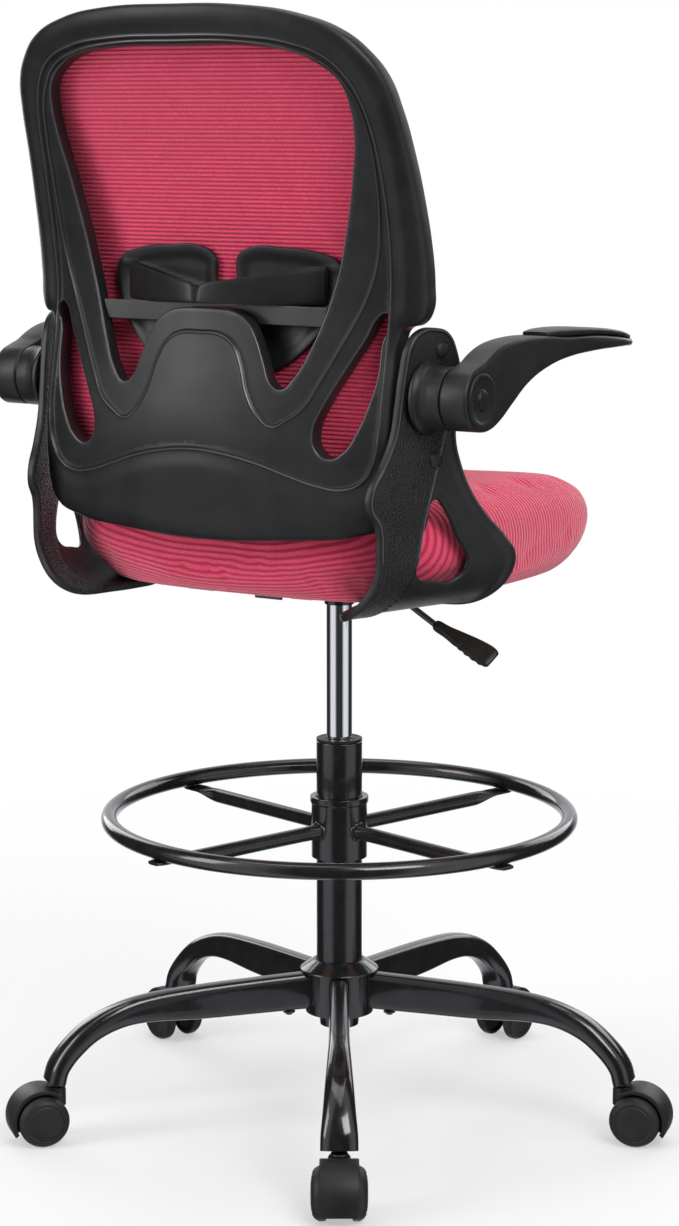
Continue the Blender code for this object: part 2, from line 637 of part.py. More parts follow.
def mesh_rear(x, z):
    """y of the mesh's rear face: taut from side to side, fast to the frame at its edge."""
    edge = 0.2035 + 0.0225 * smoothstep(0.885, 0.935, z)
    taut = 0.72 * smoothstep(0.683, 0.800, z) * (1 - smoothstep(1.02, 1.188, z))
    forward = spline_value(HOLLOW, z) * (1 - taut) * max(edge * edge - x * x, 0.0)
    return back_rear(edge, z) - BACK_THICKNESS - MESH_CLEARANCE + forward


def build_back():
    def frame_place(x, z, depth):
        return Vector((x, back_rear(x, z) - depth, z))

    slots = [SLOT, [(-x, z) for x, z in SLOT]]
    rows, columns = steps(BACK_BOTTOM, BACK_TOP, 13), steps(-0.225, 0.225, 9)
    frame = sheet([mirrored(OUTER_HALF), mirrored(OPENING_HALF)[::-1]] + slots, BACK_THICKNESS,
                  frame_place, columns, rows)
    piece("back_frame", frame, PLASTIC)

    def mesh_place(x, z, depth):
        return Vector((x, mesh_rear(x, z) - depth, z))

    mesh = sheet([mirrored(MESH_HALF)], MESH_THICKNESS, mesh_place, steps(-0.22, 0.22, 7),
                 steps(0.69, 1.18, 11))
    piece("back_mesh", mesh, RED_KNIT)

    ends = [(0.1300, BAR_BOTTOM), (0.1345, BAR_TOP)]
    rings = []
    for y in (0.2328, 0.2374):
        rings.append([Vector((x * sign, y, z)) for x, z, sign in
                      ((*ends[0], 1), (*ends[1], 1), (*ends[1], -1), (*ends[0], -1))])
    piece("lumbar_rail", loft(rings), PLASTIC)


def build_lumbar():
    def wing_place(x, z, depth):
        return Vector((x, mesh_rear(x, z) + 0.0015 + WING_THICKNESS - depth, z))

    cells = (steps(0.0, 0.14, 4), steps(0.83, 0.965, 4))
    lumbar = piece("lumbar_support", sheet([WING], WING_THICKNESS, wing_place, *cells), PLASTIC)
    other = [(-x, z) for x, z in WING]
    join(lumbar, sheet([other], WING_THICKNESS, wing_place, steps(-0.14, 0.0, 4), cells[1]))
    rings = []
    count = 13
    for i in range(count):
        x = 0.112 * (2 * i / (count - 1) - 1)
        away = abs(x) / 0.112
        y = 0.2105 + 0.053 * (1 - away ** 1.6)
        low = 0.9085 + 0.003 * away
        high = 0.9270 + 0.014 * away
        rings.append([Vector((x, y, low)), Vector((x, y + 0.007, low)), Vector((x, y + 0.007, high)),
                      Vector((x, y, high))])
    join(lumbar, loft(rings))
    cut(lumbar, box((-0.003, 0.255, 0.9105), (0.003, 0.275, 0.9225)))


# ---------------------------------------------------------------- arms
BRACKET_OUTLINE = [  # y, then height, which runs on along the bend and the foot
    (0.192, 0.884), (0.210, 0.883), (0.224, 0.872), (0.234, 0.843), (0.239, 0.815), (0.245, 0.785),
    (0.258, 0.758), (0.274, 0.732), (0.275, 0.716), (0.264, 0.698), (0.262, 0.670), (0.262, 0.640),
    (0.262, 0.600), (0.250, 0.575), (0.215, 0.552), (0.180, 0.534), (0.145, 0.524), (0.115, 0.532),
    (0.097, 0.560), (0.089, 0.600), (0.084, 0.636), (0.086, 0.656), (0.101, 0.676), (0.126, 0.700),
    (0.146, 0.725), (0.160, 0.753), (0.167, 0.780), (0.164, 0.808), (0.161, 0.835), (0.166, 0.862),
    (0.177, 0.879),
]
BRACKET_WINDOW = [
    (0.190, 0.719), (0.200, 0.697), (0.212, 0.662), (0.209, 0.645), (0.183, 0.635), (0.156, 0.634),
    (0.145, 0.650), (0.162, 0.682), (0.178, 0.710),
]
BRACKET_SCREWS = ((0.185, 0.8655), (0.1935, 0.7585))
ARM_STATIONS = (  # y, underside, top and width, from behind the pivot to the tip
    (0.188, 0.8000, 0.8475, 0.0300), (0.165, 0.7980, 0.8660, 0.0302), (0.137, 0.8110, 0.8720, 0.0310),
    (0.105, 0.8300, 0.8740, 0.0330), (0.067, 0.8430, 0.8740, 0.0370), (0.030, 0.8500, 0.8715, 0.0430),
    (-0.020, 0.8535, 0.8700, 0.0500), (-0.070, 0.8540, 0.8655, 0.0520), (-0.105, 0.8535, 0.8610, 0.0440),
    (-0.126, 0.8530, 0.8580, 0.0280),
)
PAD_STATIONS = (
    (0.066, 0.8755, 0.8785, 0.030), (0.040, 0.8744, 0.8800, 0.040), (0.000, 0.8735, 0.8800, 0.047),
    (-0.045, 0.8720, 0.8775, 0.050), (-0.085, 0.8690, 0.8735, 0.047), (-0.118, 0.8640, 0.8680, 0.032),
)


def bracket_face(y):
    """|x| of the bracket's outer face, which runs in towards the back of the chair."""
    return 0.212 + 0.3 * (0.262 - y)


def bracket_normal(sign):
    return Vector((sign, 0.3, 0)).normalized()


def build_arm(side, sign):
    middle = BRACKET_BEND_RADIUS - BRACKET_THICKNESS / 2

    def bracket_place(y, run, depth):
        """depth is 0 on the inner face and the thickness on the outer one."""
        inset = depth - BRACKET_THICKNESS
        face = bracket_face(y)
        if run >= BRACKET_BEND_TOP:
            return Vector((sign * (face + inset), y, run))
        curl = BRACKET_BEND_TOP - run
        angle = min(curl / middle, math.pi / 2)
        straight = max(curl - middle * math.pi / 2, 0.0)
        radius = BRACKET_BEND_RADIUS + inset
        x = face - BRACKET_BEND_RADIUS + radius * math.cos(angle) - straight
        return Vector((sign * x, y, BRACKET_BEND_TOP - radius * math.sin(angle)))

    rows = steps(0.524, 0.570, 2) + steps(0.562, 0.670, 7) + [BRACKET_BEND_TOP] + steps(0.670, 0.88, 3)
    bracket = sheet([BRACKET_OUTLINE, BRACKET_WINDOW[::-1]], BRACKET_THICKNESS, bracket_place,
                    steps(0.08, 0.28, 4), rows)
    bracket = piece(f"arm_bracket_{side}", bracket, PLASTIC)

    def on_axis(x):
        return Vector((sign * x, ARM_PIVOT_Y, ARM_PIVOT_Z))

    boss_inner = on_axis(bracket_face(ARM_PIVOT_Y) - 0.004)
    join(bracket, cylinder(boss_inner, on_axis(BOSS_OUTER_X), ARM_HUB_RADIUS, sides=20))
    outward = bracket_normal(sign)
    for number, (y, z) in enumerate(BRACKET_SCREWS, 1):
        seat = Vector((sign * bracket_face(y), y, z))
        cut(bracket, cylinder(seat - outward * 0.012, seat + outward * 0.004, 0.0029, sides=12))
        screw = [(0.0, 0.0030), (0.0065, 0.0024), (0.0083, GAP), (0.0025, GAP), (0.0025, -0.010),
                 (0.0, -0.010)]
        turned(f"bracket_screw_{side}_{number}", screw, ZINC, 10, location=seat,
               rotation=outward.to_track_quat("Z", "Y").to_euler())

    rings = []
    inner, outer = BOSS_OUTER_X + GAP, ARM_OUTER_X
    middle_x = (inner + outer) / 2
    for y, low, high, wide in ARM_STATIONS:
        rings.append([Vector((sign * (middle_x + a), y, (low + high) / 2 + b))
                      for a, b in rounded_section(wide / 2, (high - low) / 2, 4.0, 12)])
    arm = piece(f"arm_{side}", loft(rings), PLASTIC, origin=on_axis(middle_x))
    join(arm, cylinder(on_axis(inner), on_axis(outer), ARM_HUB_RADIUS, sides=20))

    rings = []
    for y, low, high, wide in PAD_STATIONS:
        rings.append([Vector((sign * (middle_x + a), y, (low + high) / 2 + b))
                      for a, b in rounded_section(wide / 2, (high - low) / 2, 4.0, 12)])
    piece(f"arm_pad_{side}", loft(rings), PLASTIC, origin=on_axis(middle_x))

    cap = [(0.0, 0.0035), (0.0085, 0.0035), (0.0095, 0.0025), (0.0240, 0.0025), (CAP_RADIUS, 0.0010),
           (CAP_RADIUS, GAP), (0.0, GAP)]
    turned(f"arm_cap_{side}", cap, PLASTIC, 20, location=on_axis(outer),
           rotation=(0, sign * math.pi / 2, 0))


def shift_to_footprint():
    """Hang every piece and cutter from one empty, which carries the chair to its origin."""
    root = bpy.data.objects.new("chair", None)
    bpy.context.scene.collection.objects.link(root)
    for obj in PARTS.objects[:] + CUTTERS.objects[:]:
        obj.parent = root
    root.location = COLUMN_FROM_ORIGIN


clear_scene()
PARTS = collection("drafting_chair")
CUTTERS = collection("cutters")
build_base()
for caster_number in range(1, LEG_COUNT + 1):
    build_caster(caster_number)
build_lift()
build_foot_ring()
build_mechanism()
build_lever()
build_seat()
build_back()
build_lumbar()
both_sides(build_arm)
shift_to_footprint()
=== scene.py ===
"""Looks of the drafting chair: its visible surfaces, their materials, the floor, the lights and the camera.

Metres, but for the rows given to mm(). Shapes are laid out around the lift column's axis, with the sitter
facing -Y and the floor at z = 0, and make() shifts them to the place where the frame holds the column.
"""
import math

import bmesh
import bpy
import numpy as np
from mathutils import Matrix, Vector
from mathutils.geometry import delaunay_2d_cdt
from mathutils.kdtree import KDTree


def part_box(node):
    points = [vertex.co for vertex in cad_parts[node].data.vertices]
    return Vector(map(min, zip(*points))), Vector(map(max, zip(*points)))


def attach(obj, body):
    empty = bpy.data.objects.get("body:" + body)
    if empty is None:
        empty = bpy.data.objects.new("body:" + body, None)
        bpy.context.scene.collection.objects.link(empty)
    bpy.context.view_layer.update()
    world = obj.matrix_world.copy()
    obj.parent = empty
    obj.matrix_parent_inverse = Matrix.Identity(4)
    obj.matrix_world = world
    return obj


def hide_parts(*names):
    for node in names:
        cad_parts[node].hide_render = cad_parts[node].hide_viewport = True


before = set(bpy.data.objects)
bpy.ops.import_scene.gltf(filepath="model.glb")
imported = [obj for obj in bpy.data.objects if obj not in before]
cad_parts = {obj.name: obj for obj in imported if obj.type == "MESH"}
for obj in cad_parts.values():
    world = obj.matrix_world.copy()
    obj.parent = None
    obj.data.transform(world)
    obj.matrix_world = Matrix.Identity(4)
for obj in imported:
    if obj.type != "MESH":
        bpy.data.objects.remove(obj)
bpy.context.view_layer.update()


def middle(node):
    low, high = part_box(node)
    return (low + high) / 2


COLUMN = Vector((middle("gas_piston").x, middle("gas_piston").y, 0))


def span(node):
    """(lowest, highest) corner of a node, measured from the column's axis."""
    low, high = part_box(node)
    return low - COLUMN, high - COLUMN


def spot(node):
    """The middle of a node, measured from the column's axis."""
    return middle(node) - COLUMN


def mm(rows):
    return [tuple(round(value / 1000, 7) for value in row) for row in rows]


def moved(x=0, y=0, z=0):
    return Matrix.Translation((x, y, z))


def rotated(degrees, axis):
    return Matrix.Rotation(math.radians(degrees), 4, axis)


def placed(obj):
    bpy.context.scene.collection.objects.link(obj)
    return obj


# ---------------------------------------------------------------- curves
CURVE_STEPS = 12             # between two points of an outline


def through(places, values, at):
    """Smooth interpolation of values, one row for each place, at the places in at."""
    places, values = np.asarray(places, float), np.asarray(values, float)
    at = np.clip(np.asarray(at, float), places[0], places[-1])
    last = len(places) - 1
    before = np.maximum(np.arange(last + 1) - 1, 0)
    after = np.minimum(np.arange(last + 1) + 1, last)
    column = (-1,) + (1,) * (values.ndim - 1)
    slope = (values[after] - values[before]) / (places[after] - places[before]).reshape(column)
    i = np.clip(np.searchsorted(places, at, side="right") - 1, 0, last - 1)
    width = (places[i + 1] - places[i]).reshape(column)
    t = (at - places[i]).reshape(column) / width
    return ((2 * t**3 - 3 * t**2 + 1) * values[i] + (t**3 - 2 * t**2 + t) * width * slope[i]
            + (3 * t**2 - 2 * t**3) * values[i + 1] + (t**3 - t**2) * width * slope[i + 1])


def smoothstep(low, high, at):
    t = np.clip((at - low) / (high - low), 0.0, 1.0)
    return t * t * (3 - 2 * t)


def closed_curve(points):
    """A smooth closed curve through the points, as an array of points."""
    curve = bpy.data.curves.new("outline", "CURVE")
    curve.dimensions = "3D"
    curve.resolution_u = CURVE_STEPS
    spline = curve.splines.new("BEZIER")
    spline.bezier_points.add(len(points) - 1)
    for knot, (x, y) in zip(spline.bezier_points, points):
        knot.co = (x, y, 0)
        knot.handle_left_type = "AUTO"
        knot.handle_right_type = "AUTO"
    spline.use_cyclic_u = True
    holder = placed(bpy.data.objects.new("outline", curve))
    mesh = bpy.data.meshes.new_from_object(holder.evaluated_get(bpy.context.evaluated_depsgraph_get()))
    bpy.data.objects.remove(holder)
    return np.array([vertex.co[:2] for vertex in mesh.vertices])


def even(loop, spacing):
    """A closed loop as evenly spaced points."""
    closed = np.vstack([loop, loop[:1]])
    run = np.concatenate([[0], np.cumsum(np.linalg.norm(np.diff(closed, axis=0), axis=1))])
    count = max(int(round(run[-1] / spacing)), 8)
    at = np.linspace(0, run[-1], count, endpoint=False)
    return np.stack([np.interp(at, run, closed[:, k]) for k in (0, 1)], axis=1)


def inward(loop):
    """Unit normals of a closed loop, pointing into it."""
    along = np.roll(loop, -1, axis=0) - np.roll(loop, 1, axis=0)
    along /= np.linalg.norm(along, axis=1)[:, None]
    normal = np.stack([-along[:, 1], along[:, 0]], axis=1)
    following = np.roll(loop, -1, axis=0)
    area = np.sum(loop[:, 0] * following[:, 1] - following[:, 0] * loop[:, 1])
    return normal * math.copysign(1, area)


def distance(points, loop):
    """Distance of each point to a closed loop."""
    start, way = loop, np.roll(loop, -1, axis=0) - loop
    square = np.maximum(np.sum(way**2, axis=1), 1e-18)
    found = []
    for part in np.array_split(points, max(len(points) // 1500, 1)):
        off = part[:, None] - start[None]
        t = np.clip(np.sum(off * way[None], axis=2) / square, 0, 1)
        found.append(np.linalg.norm(off - t[..., None] * way[None], axis=2).min(axis=1))
    return np.concatenate(found)


def inside(points, loop):
    """Whether each point is inside a closed loop."""
    x0, y0 = loop[:, 0], loop[:, 1]
    x1, y1 = np.roll(x0, -1), np.roll(y0, -1)
    found = []
    for part in np.array_split(points, max(len(points) // 1500, 1)):
        x, y = part[:, :1], part[:, 1:]
        crosses = (y0 > y) != (y1 > y)
        where = x0 + (y - y0) * (x1 - x0) / np.where(y1 == y0, 1e-12, y1 - y0)
        found.append((np.sum(crosses & (x < where), axis=1) % 2) == 1)
    return np.concatenate(found)


def depth_inside(points, loop):
    """Distance to a closed loop, above 0 inside it and below 0 outside."""
    return distance(points, loop) * np.where(inside(points, loop), 1, -1)


def mirrored(half):
    """A half outline with x >= 0, from the middle of the top to the middle of the bottom."""
    return half + [(-x, y) for x, y in reversed(half) if x > 1e-5]


# ---------------------------------------------------------------- meshes
CORNER_POINTS = 5            # on each rounded corner of a profile
EDGE_STEPS = [1 - math.cos(a) for a in np.radians((0, 22, 45, 68, 90))]


def as_mesh(name, bm):
    bmesh.ops.recalc_face_normals(bm, faces=bm.faces[:])
    mesh = bpy.data.meshes.new(name)
    bm.to_mesh(mesh)
    bm.free()
    return mesh


def make(name, bm, body, look, replaces=(), sharp=38.0):
    """Turn a bmesh into a piece that rides on a body and stands for CAD nodes."""
    mesh = as_mesh(name, bm)
    mesh.transform(moved(*COLUMN))
    return finish_piece(name, mesh, body, look, replaces, sharp)


def finish_piece(name, mesh, body, look, replaces=(), sharp=38.0):
    mesh.shade_smooth()
    mesh.set_sharp_from_angle(angle=math.radians(sharp))
    mesh.materials.clear()
    mesh.materials.append(LOOKS[look])
    obj = placed(bpy.data.objects.new(name, mesh))
    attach(obj, body)
    if replaces:
        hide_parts(*replaces)
    return obj


def skin(rings, closed_ends=True):
    """A skin over rings that hold the same number of points."""
    bm = bmesh.new()
    loops = [[bm.verts.new(point) for point in ring] for ring in rings]
    count = len(loops[0])
    for near, far in zip(loops, loops[1:]):
        for i in range(count):
            j = (i + 1) % count
            bm.faces.new((near[i], near[j], far[j], far[i]))
    if closed_ends:
        for loop in (loops[0], loops[-1]):
            centre = bm.verts.new(sum((vertex.co for vertex in loop), Vector()) / count)
            for i in range(count):
                bm.faces.new((loop[i], loop[(i + 1) % count], centre))
    return bm


def section(half_width, half_height, squareness, count):
    """Points of a superellipse, as (across, up) pairs."""
    angle = 2 * np.pi * (np.arange(count) + 0.5) / count
    c, s = np.cos(angle), np.sin(angle)
    across = np.sign(c) * np.abs(c) ** (2 / squareness) * half_width
    up = np.sign(s) * np.abs(s) ** (2 / squareness) * half_height
    return list(zip(across, up))


def softened(profile, radius, loop):
    """The profile with each corner rounded, but for the two ends of one that isn't a loop."""
    corners = [np.array(point, float) for point in profile]
    total = len(corners)
    done = []
    for i, corner in enumerate(corners):
        if not loop and i in (0, total - 1):
            done.append(corner)
            continue
        back, ahead = corners[i - 1] - corner, corners[(i + 1) % total] - corner
        start, end = (corner + way / np.linalg.norm(way) * min(radius, 0.45 * np.linalg.norm(way))
                      for way in (back, ahead))
        for t in np.linspace(0, 1, CORNER_POINTS):
            done.append((1 - t) ** 2 * start + 2 * t * (1 - t) * corner + t * t * end)
    return done


def turned(profile, sides=96, radius=0.0008, matrix=Matrix(), lobes=None):
    """A turned shape from (radius, height) points, which start and end on the axis or meet in a loop."""
    loop = profile[0][0] > 1e-6
    bm = bmesh.new()
    rows = []
    for r, z in softened(profile, radius, loop):
        angles = [2 * math.pi * k / sides for k in range(sides)] if r > 1e-6 else [0.0]
        reach = [r if lobes is None else r * lobes(angle, z) for angle in angles]
        rows.append([bm.verts.new((far * math.cos(angle), far * math.sin(angle), z))
                     for far, angle in zip(reach, angles)])
    for near, far in zip(rows, rows[1:] + rows[:1] * loop):
        for k in range(sides):
            j = (k + 1) % sides
            corners = dict.fromkeys([near[k % len(near)], near[j % len(near)],
                                     far[j % len(far)], far[k % len(far)]])
            if len(corners) > 2:
                bm.faces.new(list(corners))
    bm.transform(matrix)
    return bm


def round_ring(centre, side, other, radius, sides):
    return [centre + side * (radius * math.cos(2 * math.pi * k / sides))
            + other * (radius * math.sin(2 * math.pi * k / sides)) for k in range(sides)]


def tube(points, radius, sides):
    """A round tube along points, with flat ends."""
    points = [Vector(p) for p in points]
    rings = []
    side = None
    for i, point in enumerate(points):
        along = (points[min(i + 1, len(points) - 1)] - points[max(i - 1, 0)]).normalized()
        side = along.orthogonal() if side is None else side - along * side.dot(along)
        side.normalize()
        rings.append(round_ring(point, side, along.cross(side), radius, sides))
    return skin(rings)


def store(bm, name, values):
    """Keep one number for each vertex in a layer that a material can read."""
    layer = bm.verts.layers.float.new(name)
    for vertex, value in zip(bm.verts, values):
        vertex[layer] = float(value)


def rounding(gap, radius):
    """How far a face falls away at a distance from its rounded edge."""
    t = np.clip(1 - gap / radius, 0, 1)
    return radius * (1 - np.sqrt(1 - t * t))


def shell(loops, spacing, rear, front, lines=(), edge=0.002, edge_spacing=0.0025):
    """A sheet with holes: loops are its outline and holes, rear(points, gap) and front(points, gap)
    give the world points of its two faces, and lines are loops that its relief follows."""
    fine = [even(loop, edge_spacing) for loop in loops]
    points, edges = [], []

    def add(loop):
        start, count = len(points), len(loop)
        points.extend(loop)
        edges.extend((start + i, start + (i + 1) % count) for i in range(count))

    for k, loop in enumerate(fine):
        into = inward(loop) * (1 if k == 0 else -1)
        for reach in EDGE_STEPS:
            add(loop + into * reach * edge)
    for loop, offsets in lines:
        loop = even(loop, edge_spacing)
        for offset in offsets:
            add(loop + inward(loop) * offset)
    tree = KDTree(len(points))
    for i, (x, y) in enumerate(points):
        tree.insert((x, y, 0), i)
    tree.balance()
    low, high = fine[0].min(axis=0), fine[0].max(axis=0)
    for row, y in enumerate(np.arange(low[1], high[1], spacing * 0.87)):
        for x in np.arange(low[0] + (row % 2) * spacing / 2, high[0], spacing):
            if tree.find((x, y, 0))[2] > 0.55 * spacing:
                points.append(np.array((x, y)))
    verts, _, faces, _, _, _ = delaunay_2d_cdt([Vector(p) for p in points], edges, [], 0, 1e-6)
    flat = np.array([tuple(v) for v in verts])
    faces = np.array([face[:3] for face in faces])
    centres = flat[faces].mean(axis=1)
    keep = inside(centres, fine[0])
    for hole in fine[1:]:
        keep &= ~inside(centres, hole)
    faces = faces[keep]
    gap = np.min([distance(flat, loop) for loop in fine], axis=0)
    used = np.unique(faces)
    bm = bmesh.new()
    rear_at, front_at = rear(flat, gap), front(flat, gap)
    rear_verts = {i: bm.verts.new(rear_at[i]) for i in used}
    front_verts = {i: bm.verts.new(front_at[i]) for i in used}
    count = {}
    for a, b, c in faces:
        bm.faces.new((rear_verts[a], rear_verts[b], rear_verts[c]))
        bm.faces.new((front_verts[c], front_verts[b], front_verts[a]))
        for pair in ((a, b), (b, c), (c, a)):
            count[tuple(sorted(pair))] = count.get(tuple(sorted(pair)), 0) + 1
    for (a, b), times in count.items():
        if times == 1:
            bm.faces.new((rear_verts[a], rear_verts[b], front_verts[b], front_verts[a]))
    return bm


def polar(radius, degrees, z):
    angle = math.radians(degrees)
    return Vector((radius * math.cos(angle), radius * math.sin(angle), z))


def ring_tube(points, radius, sides):
    """A round tube round a closed loop of points; radius may be one number for each point."""
    points = [Vector(p) for p in points]
    total = len(points)
    radii = np.broadcast_to(radius, total)
    centre = sum(points, Vector()) / total
    rings = []
    for i, point in enumerate(points):
        along = (points[(i + 1) % total] - points[i - 1]).normalized()
        out = point - centre
        out = (out - along * out.dot(along)).normalized()
        rings.append(round_ring(point, out, along.cross(out), radii[i], sides))
    return skin(rings + rings[:1], closed_ends=False)


def united(first, *others):
    """The union of closed bmeshes, as one bmesh."""
    made = []
    for bm in (first, *others):
        bmesh.ops.remove_doubles(bm, verts=bm.verts, dist=1e-6)
        made.append(placed(bpy.data.objects.new("solid", as_mesh("solid", bm))))
    for other in made[1:]:
        modifier = made[0].modifiers.new("Union", "BOOLEAN")
        modifier.operation = "UNION"
        modifier.solver = "EXACT"
        modifier.object = other
    evaluated = made[0].evaluated_get(bpy.context.evaluated_depsgraph_get())
    whole = bmesh.new()
    whole.from_mesh(evaluated.to_mesh())
    for solid in made:
        bpy.data.objects.remove(solid)
    return whole


# ---------------------------------------------------------------- materials
# The dark red is painted shade in the knit's rib valleys and also the darker tone of random patches; the
# light red is a painted glint on single threads.
RED_SHADE_AND_PATCHES = (0.46, 0.018, 0.06)
RED_MID = (0.82, 0.062, 0.145)
RED_GLINT = (0.96, 0.22, 0.33)
# painted highlight: the light grey that raised edges and ridge lines of black plastic are tinted towards
HIGHLIGHT_GREY = (0.11, 0.11, 0.115)


def new_look(name, colour, roughness, metallic=0.0, **sockets):
    """A material with its even values set on the shader, the shader, and object coordinates."""
    made = bpy.data.materials.new(name)
    made.use_nodes = True
    shader = made.node_tree.nodes["Principled BSDF"]
    shader.inputs["Base Color"].default_value = (*colour, 1.0)
    shader.inputs["Roughness"].default_value = roughness
    shader.inputs["Metallic"].default_value = metallic
    for socket, value in sockets.items():
        shader.inputs[socket.replace("_", " ")].default_value = value
    where = node(made.node_tree, "ShaderNodeTexCoord").outputs["Object"]
    return made, shader, where


def fill(made, inputs):
    """Set a node's inputs to a value or link them to an output."""
    for key, value in inputs.items():
        if isinstance(value, bpy.types.NodeSocket):
            made.id_data.links.new(value, made.inputs[key])
        else:
            made.inputs[key].default_value = value


def node(tree, kind, inputs=None, **settings):
    made = tree.nodes.new(kind)
    for key, value in settings.items():
        setattr(made, key, value)
    fill(made, inputs or {})
    return made


def noise(where, scale, detail=3.0, rough=0.55, stretch=None):
    tree = where.id_data
    if stretch is not None:
        where = node(tree, "ShaderNodeMapping", {"Vector": where, "Scale": stretch}).outputs["Vector"]
    inputs = {"Vector": where, "Scale": scale, "Detail": detail, "Roughness": rough}
    return node(tree, "ShaderNodeTexNoise", inputs).outputs["Fac"]


def ramp(value, low, high):
    """The value mapped in a straight line from low to high, (in, out) pairs, and held beyond them."""
    inputs = {"Value": value, "From Min": low[0], "From Max": high[0], "To Min": low[1], "To Max": high[1]}
    return node(value.id_data, "ShaderNodeMapRange", inputs, clamp=True).outputs["Result"]


def stored(where, name):
    """A number that the mesh holds for each of its points."""
    return node(where.id_data, "ShaderNodeAttribute", attribute_name=name).outputs["Fac"]


def maths(operation, *values):
    """One Math node's output; the first value is an output too."""
    tree = values[0].id_data
    return node(tree, "ShaderNodeMath", dict(enumerate(values)), operation=operation).outputs[0]


def tint(share, first, second):
    """A mix of two colours, each an even colour or an output."""
    first, second = ((*colour, 1.0) if isinstance(colour, tuple) else colour for colour in (first, second))
    made = node(share.id_data, "ShaderNodeMix", {"Factor": share}, data_type="RGBA")
    fill(made, {"A": first, "B": second})
    return made.outputs["Result"]


def bump(shader, height, depth, under=None):
    inputs = {"Height": height, "Distance": depth, "Strength": 1.0}
    if under is not None:
        inputs["Normal"] = under
    made = node(shader.id_data, "ShaderNodeBump", inputs).outputs["Normal"]
    fill(shader, {"Normal": made})
    return made


def moulded_plastic(name, colour, roughness, grain_scale, grain_depth, pebbles=False):
    """Black moulded plastic: fine spark-eroded grain, faint flow marks, and glossier raised edges with a
    painted highlight.
    """
    made, shader, where = new_look(name, colour, roughness)
    smeared = ramp(noise(where, 9.0, 4.0), (0.3, roughness - 0.06), (0.7, roughness + 0.07))
    tree = where.id_data
    pointiness = node(tree, "ShaderNodeNewGeometry").outputs["Pointiness"]
    curved = ramp(pointiness, (0.53, 0.0), (0.62, 1.0))
    # convex edges and the mesh's stored ridge-line mask: glossier, and tinted towards a painted highlight
    # grey
    raised = maths("MAXIMUM", curved, stored(where, "painted_highlight"))
    light = tuple(c * 1.35 + 0.002 for c in colour)
    mottled = tint(ramp(noise(where, 30.0), (0.35, 0.0), (0.65, 1.0)), colour, light)
    fill(shader, {
        "Roughness": maths("MULTIPLY_ADD", raised, -0.12, smeared),
        "Specular IOR Level": ramp(raised, (0.0, 0.28), (1.0, 0.75)),
        "Base Color": tint(ramp(raised, (0.2, 0.0), (1.0, 0.6)), mottled, HIGHLIGHT_GREY),
    })
    waves = bump(shader, noise(where, 45.0, 1.0), 0.00012)
    if pebbles:
        cells = node(tree, "ShaderNodeTexVoronoi", {"Vector": where, "Scale": grain_scale},
                     feature="SMOOTH_F1").outputs["Distance"]
        grain = maths("MULTIPLY", cells, stored(where, "grain"))
    else:
        grain = noise(where, grain_scale, 2.0)
    bump(shader, grain, grain_depth, waves)
    return made


def painted_steel():
    """Black enamel over tube: glossy, with the slight waviness of sprayed paint."""
    made, shader, where = new_look("painted_steel", (0.01, 0.01, 0.011), 0.2, Coat_Weight=0.5,
                                   Coat_Roughness=0.06)
    patches = ramp(noise(where, 60.0, 5.0), (0.45, 0.0), (0.75, 1.0))
    fill(shader, {
        "Roughness": ramp(noise(where, 14.0, 4.0), (0.3, 0.15), (0.7, 0.27)),
        "Base Color": tint(patches, (0.009, 0.009, 0.01), (0.016, 0.016, 0.017)),
    })
    peel = bump(shader, noise(where, 260.0, 1.0), 0.00006)
    bump(shader, noise(where, 70.0, 1.0), 0.0001, peel)
    return made


def chromed():
    made, shader, where = new_look("chrome", (0.86, 0.86, 0.88), 0.07, 1.0)
    lines = noise(where, 700.0, 2.0, stretch=(1.0, 1.0, 0.02))
    fill(shader, {"Roughness": ramp(lines, (0.3, 0.05), (0.75, 0.13))})
    bump(shader, noise(where, 1200.0, 2.0, stretch=(1.0, 1.0, 0.01)), 0.000006)
    return made


def zinc():
    made, shader, where = new_look("zinc_steel", (0.13, 0.13, 0.14), 0.38, 0.9)
    fill(shader, {
        "Roughness": ramp(noise(where, 220.0, 4.0), (0.3, 0.28), (0.7, 0.5)),
        "Base Color": tint(noise(where, 120.0, 4.0), (0.07, 0.07, 0.075), (0.2, 0.2, 0.21)),
    })
    bump(shader, noise(where, 900.0, 2.0), 0.00003)
    return made


def plywood():
    made, shader, where = new_look("plywood", (0.5, 0.34, 0.19), 0.72)
    streaks = noise(where, 26.0, 6.0, 0.65, stretch=(1.0, 9.0, 30.0))
    share = ramp(streaks, (0.35, 0.0), (0.68, 1.0))
    fill(shader, {"Base Color": tint(share, (0.34, 0.21, 0.11), (0.6, 0.43, 0.26))})
    bump(shader, streaks, 0.0002)
    return made


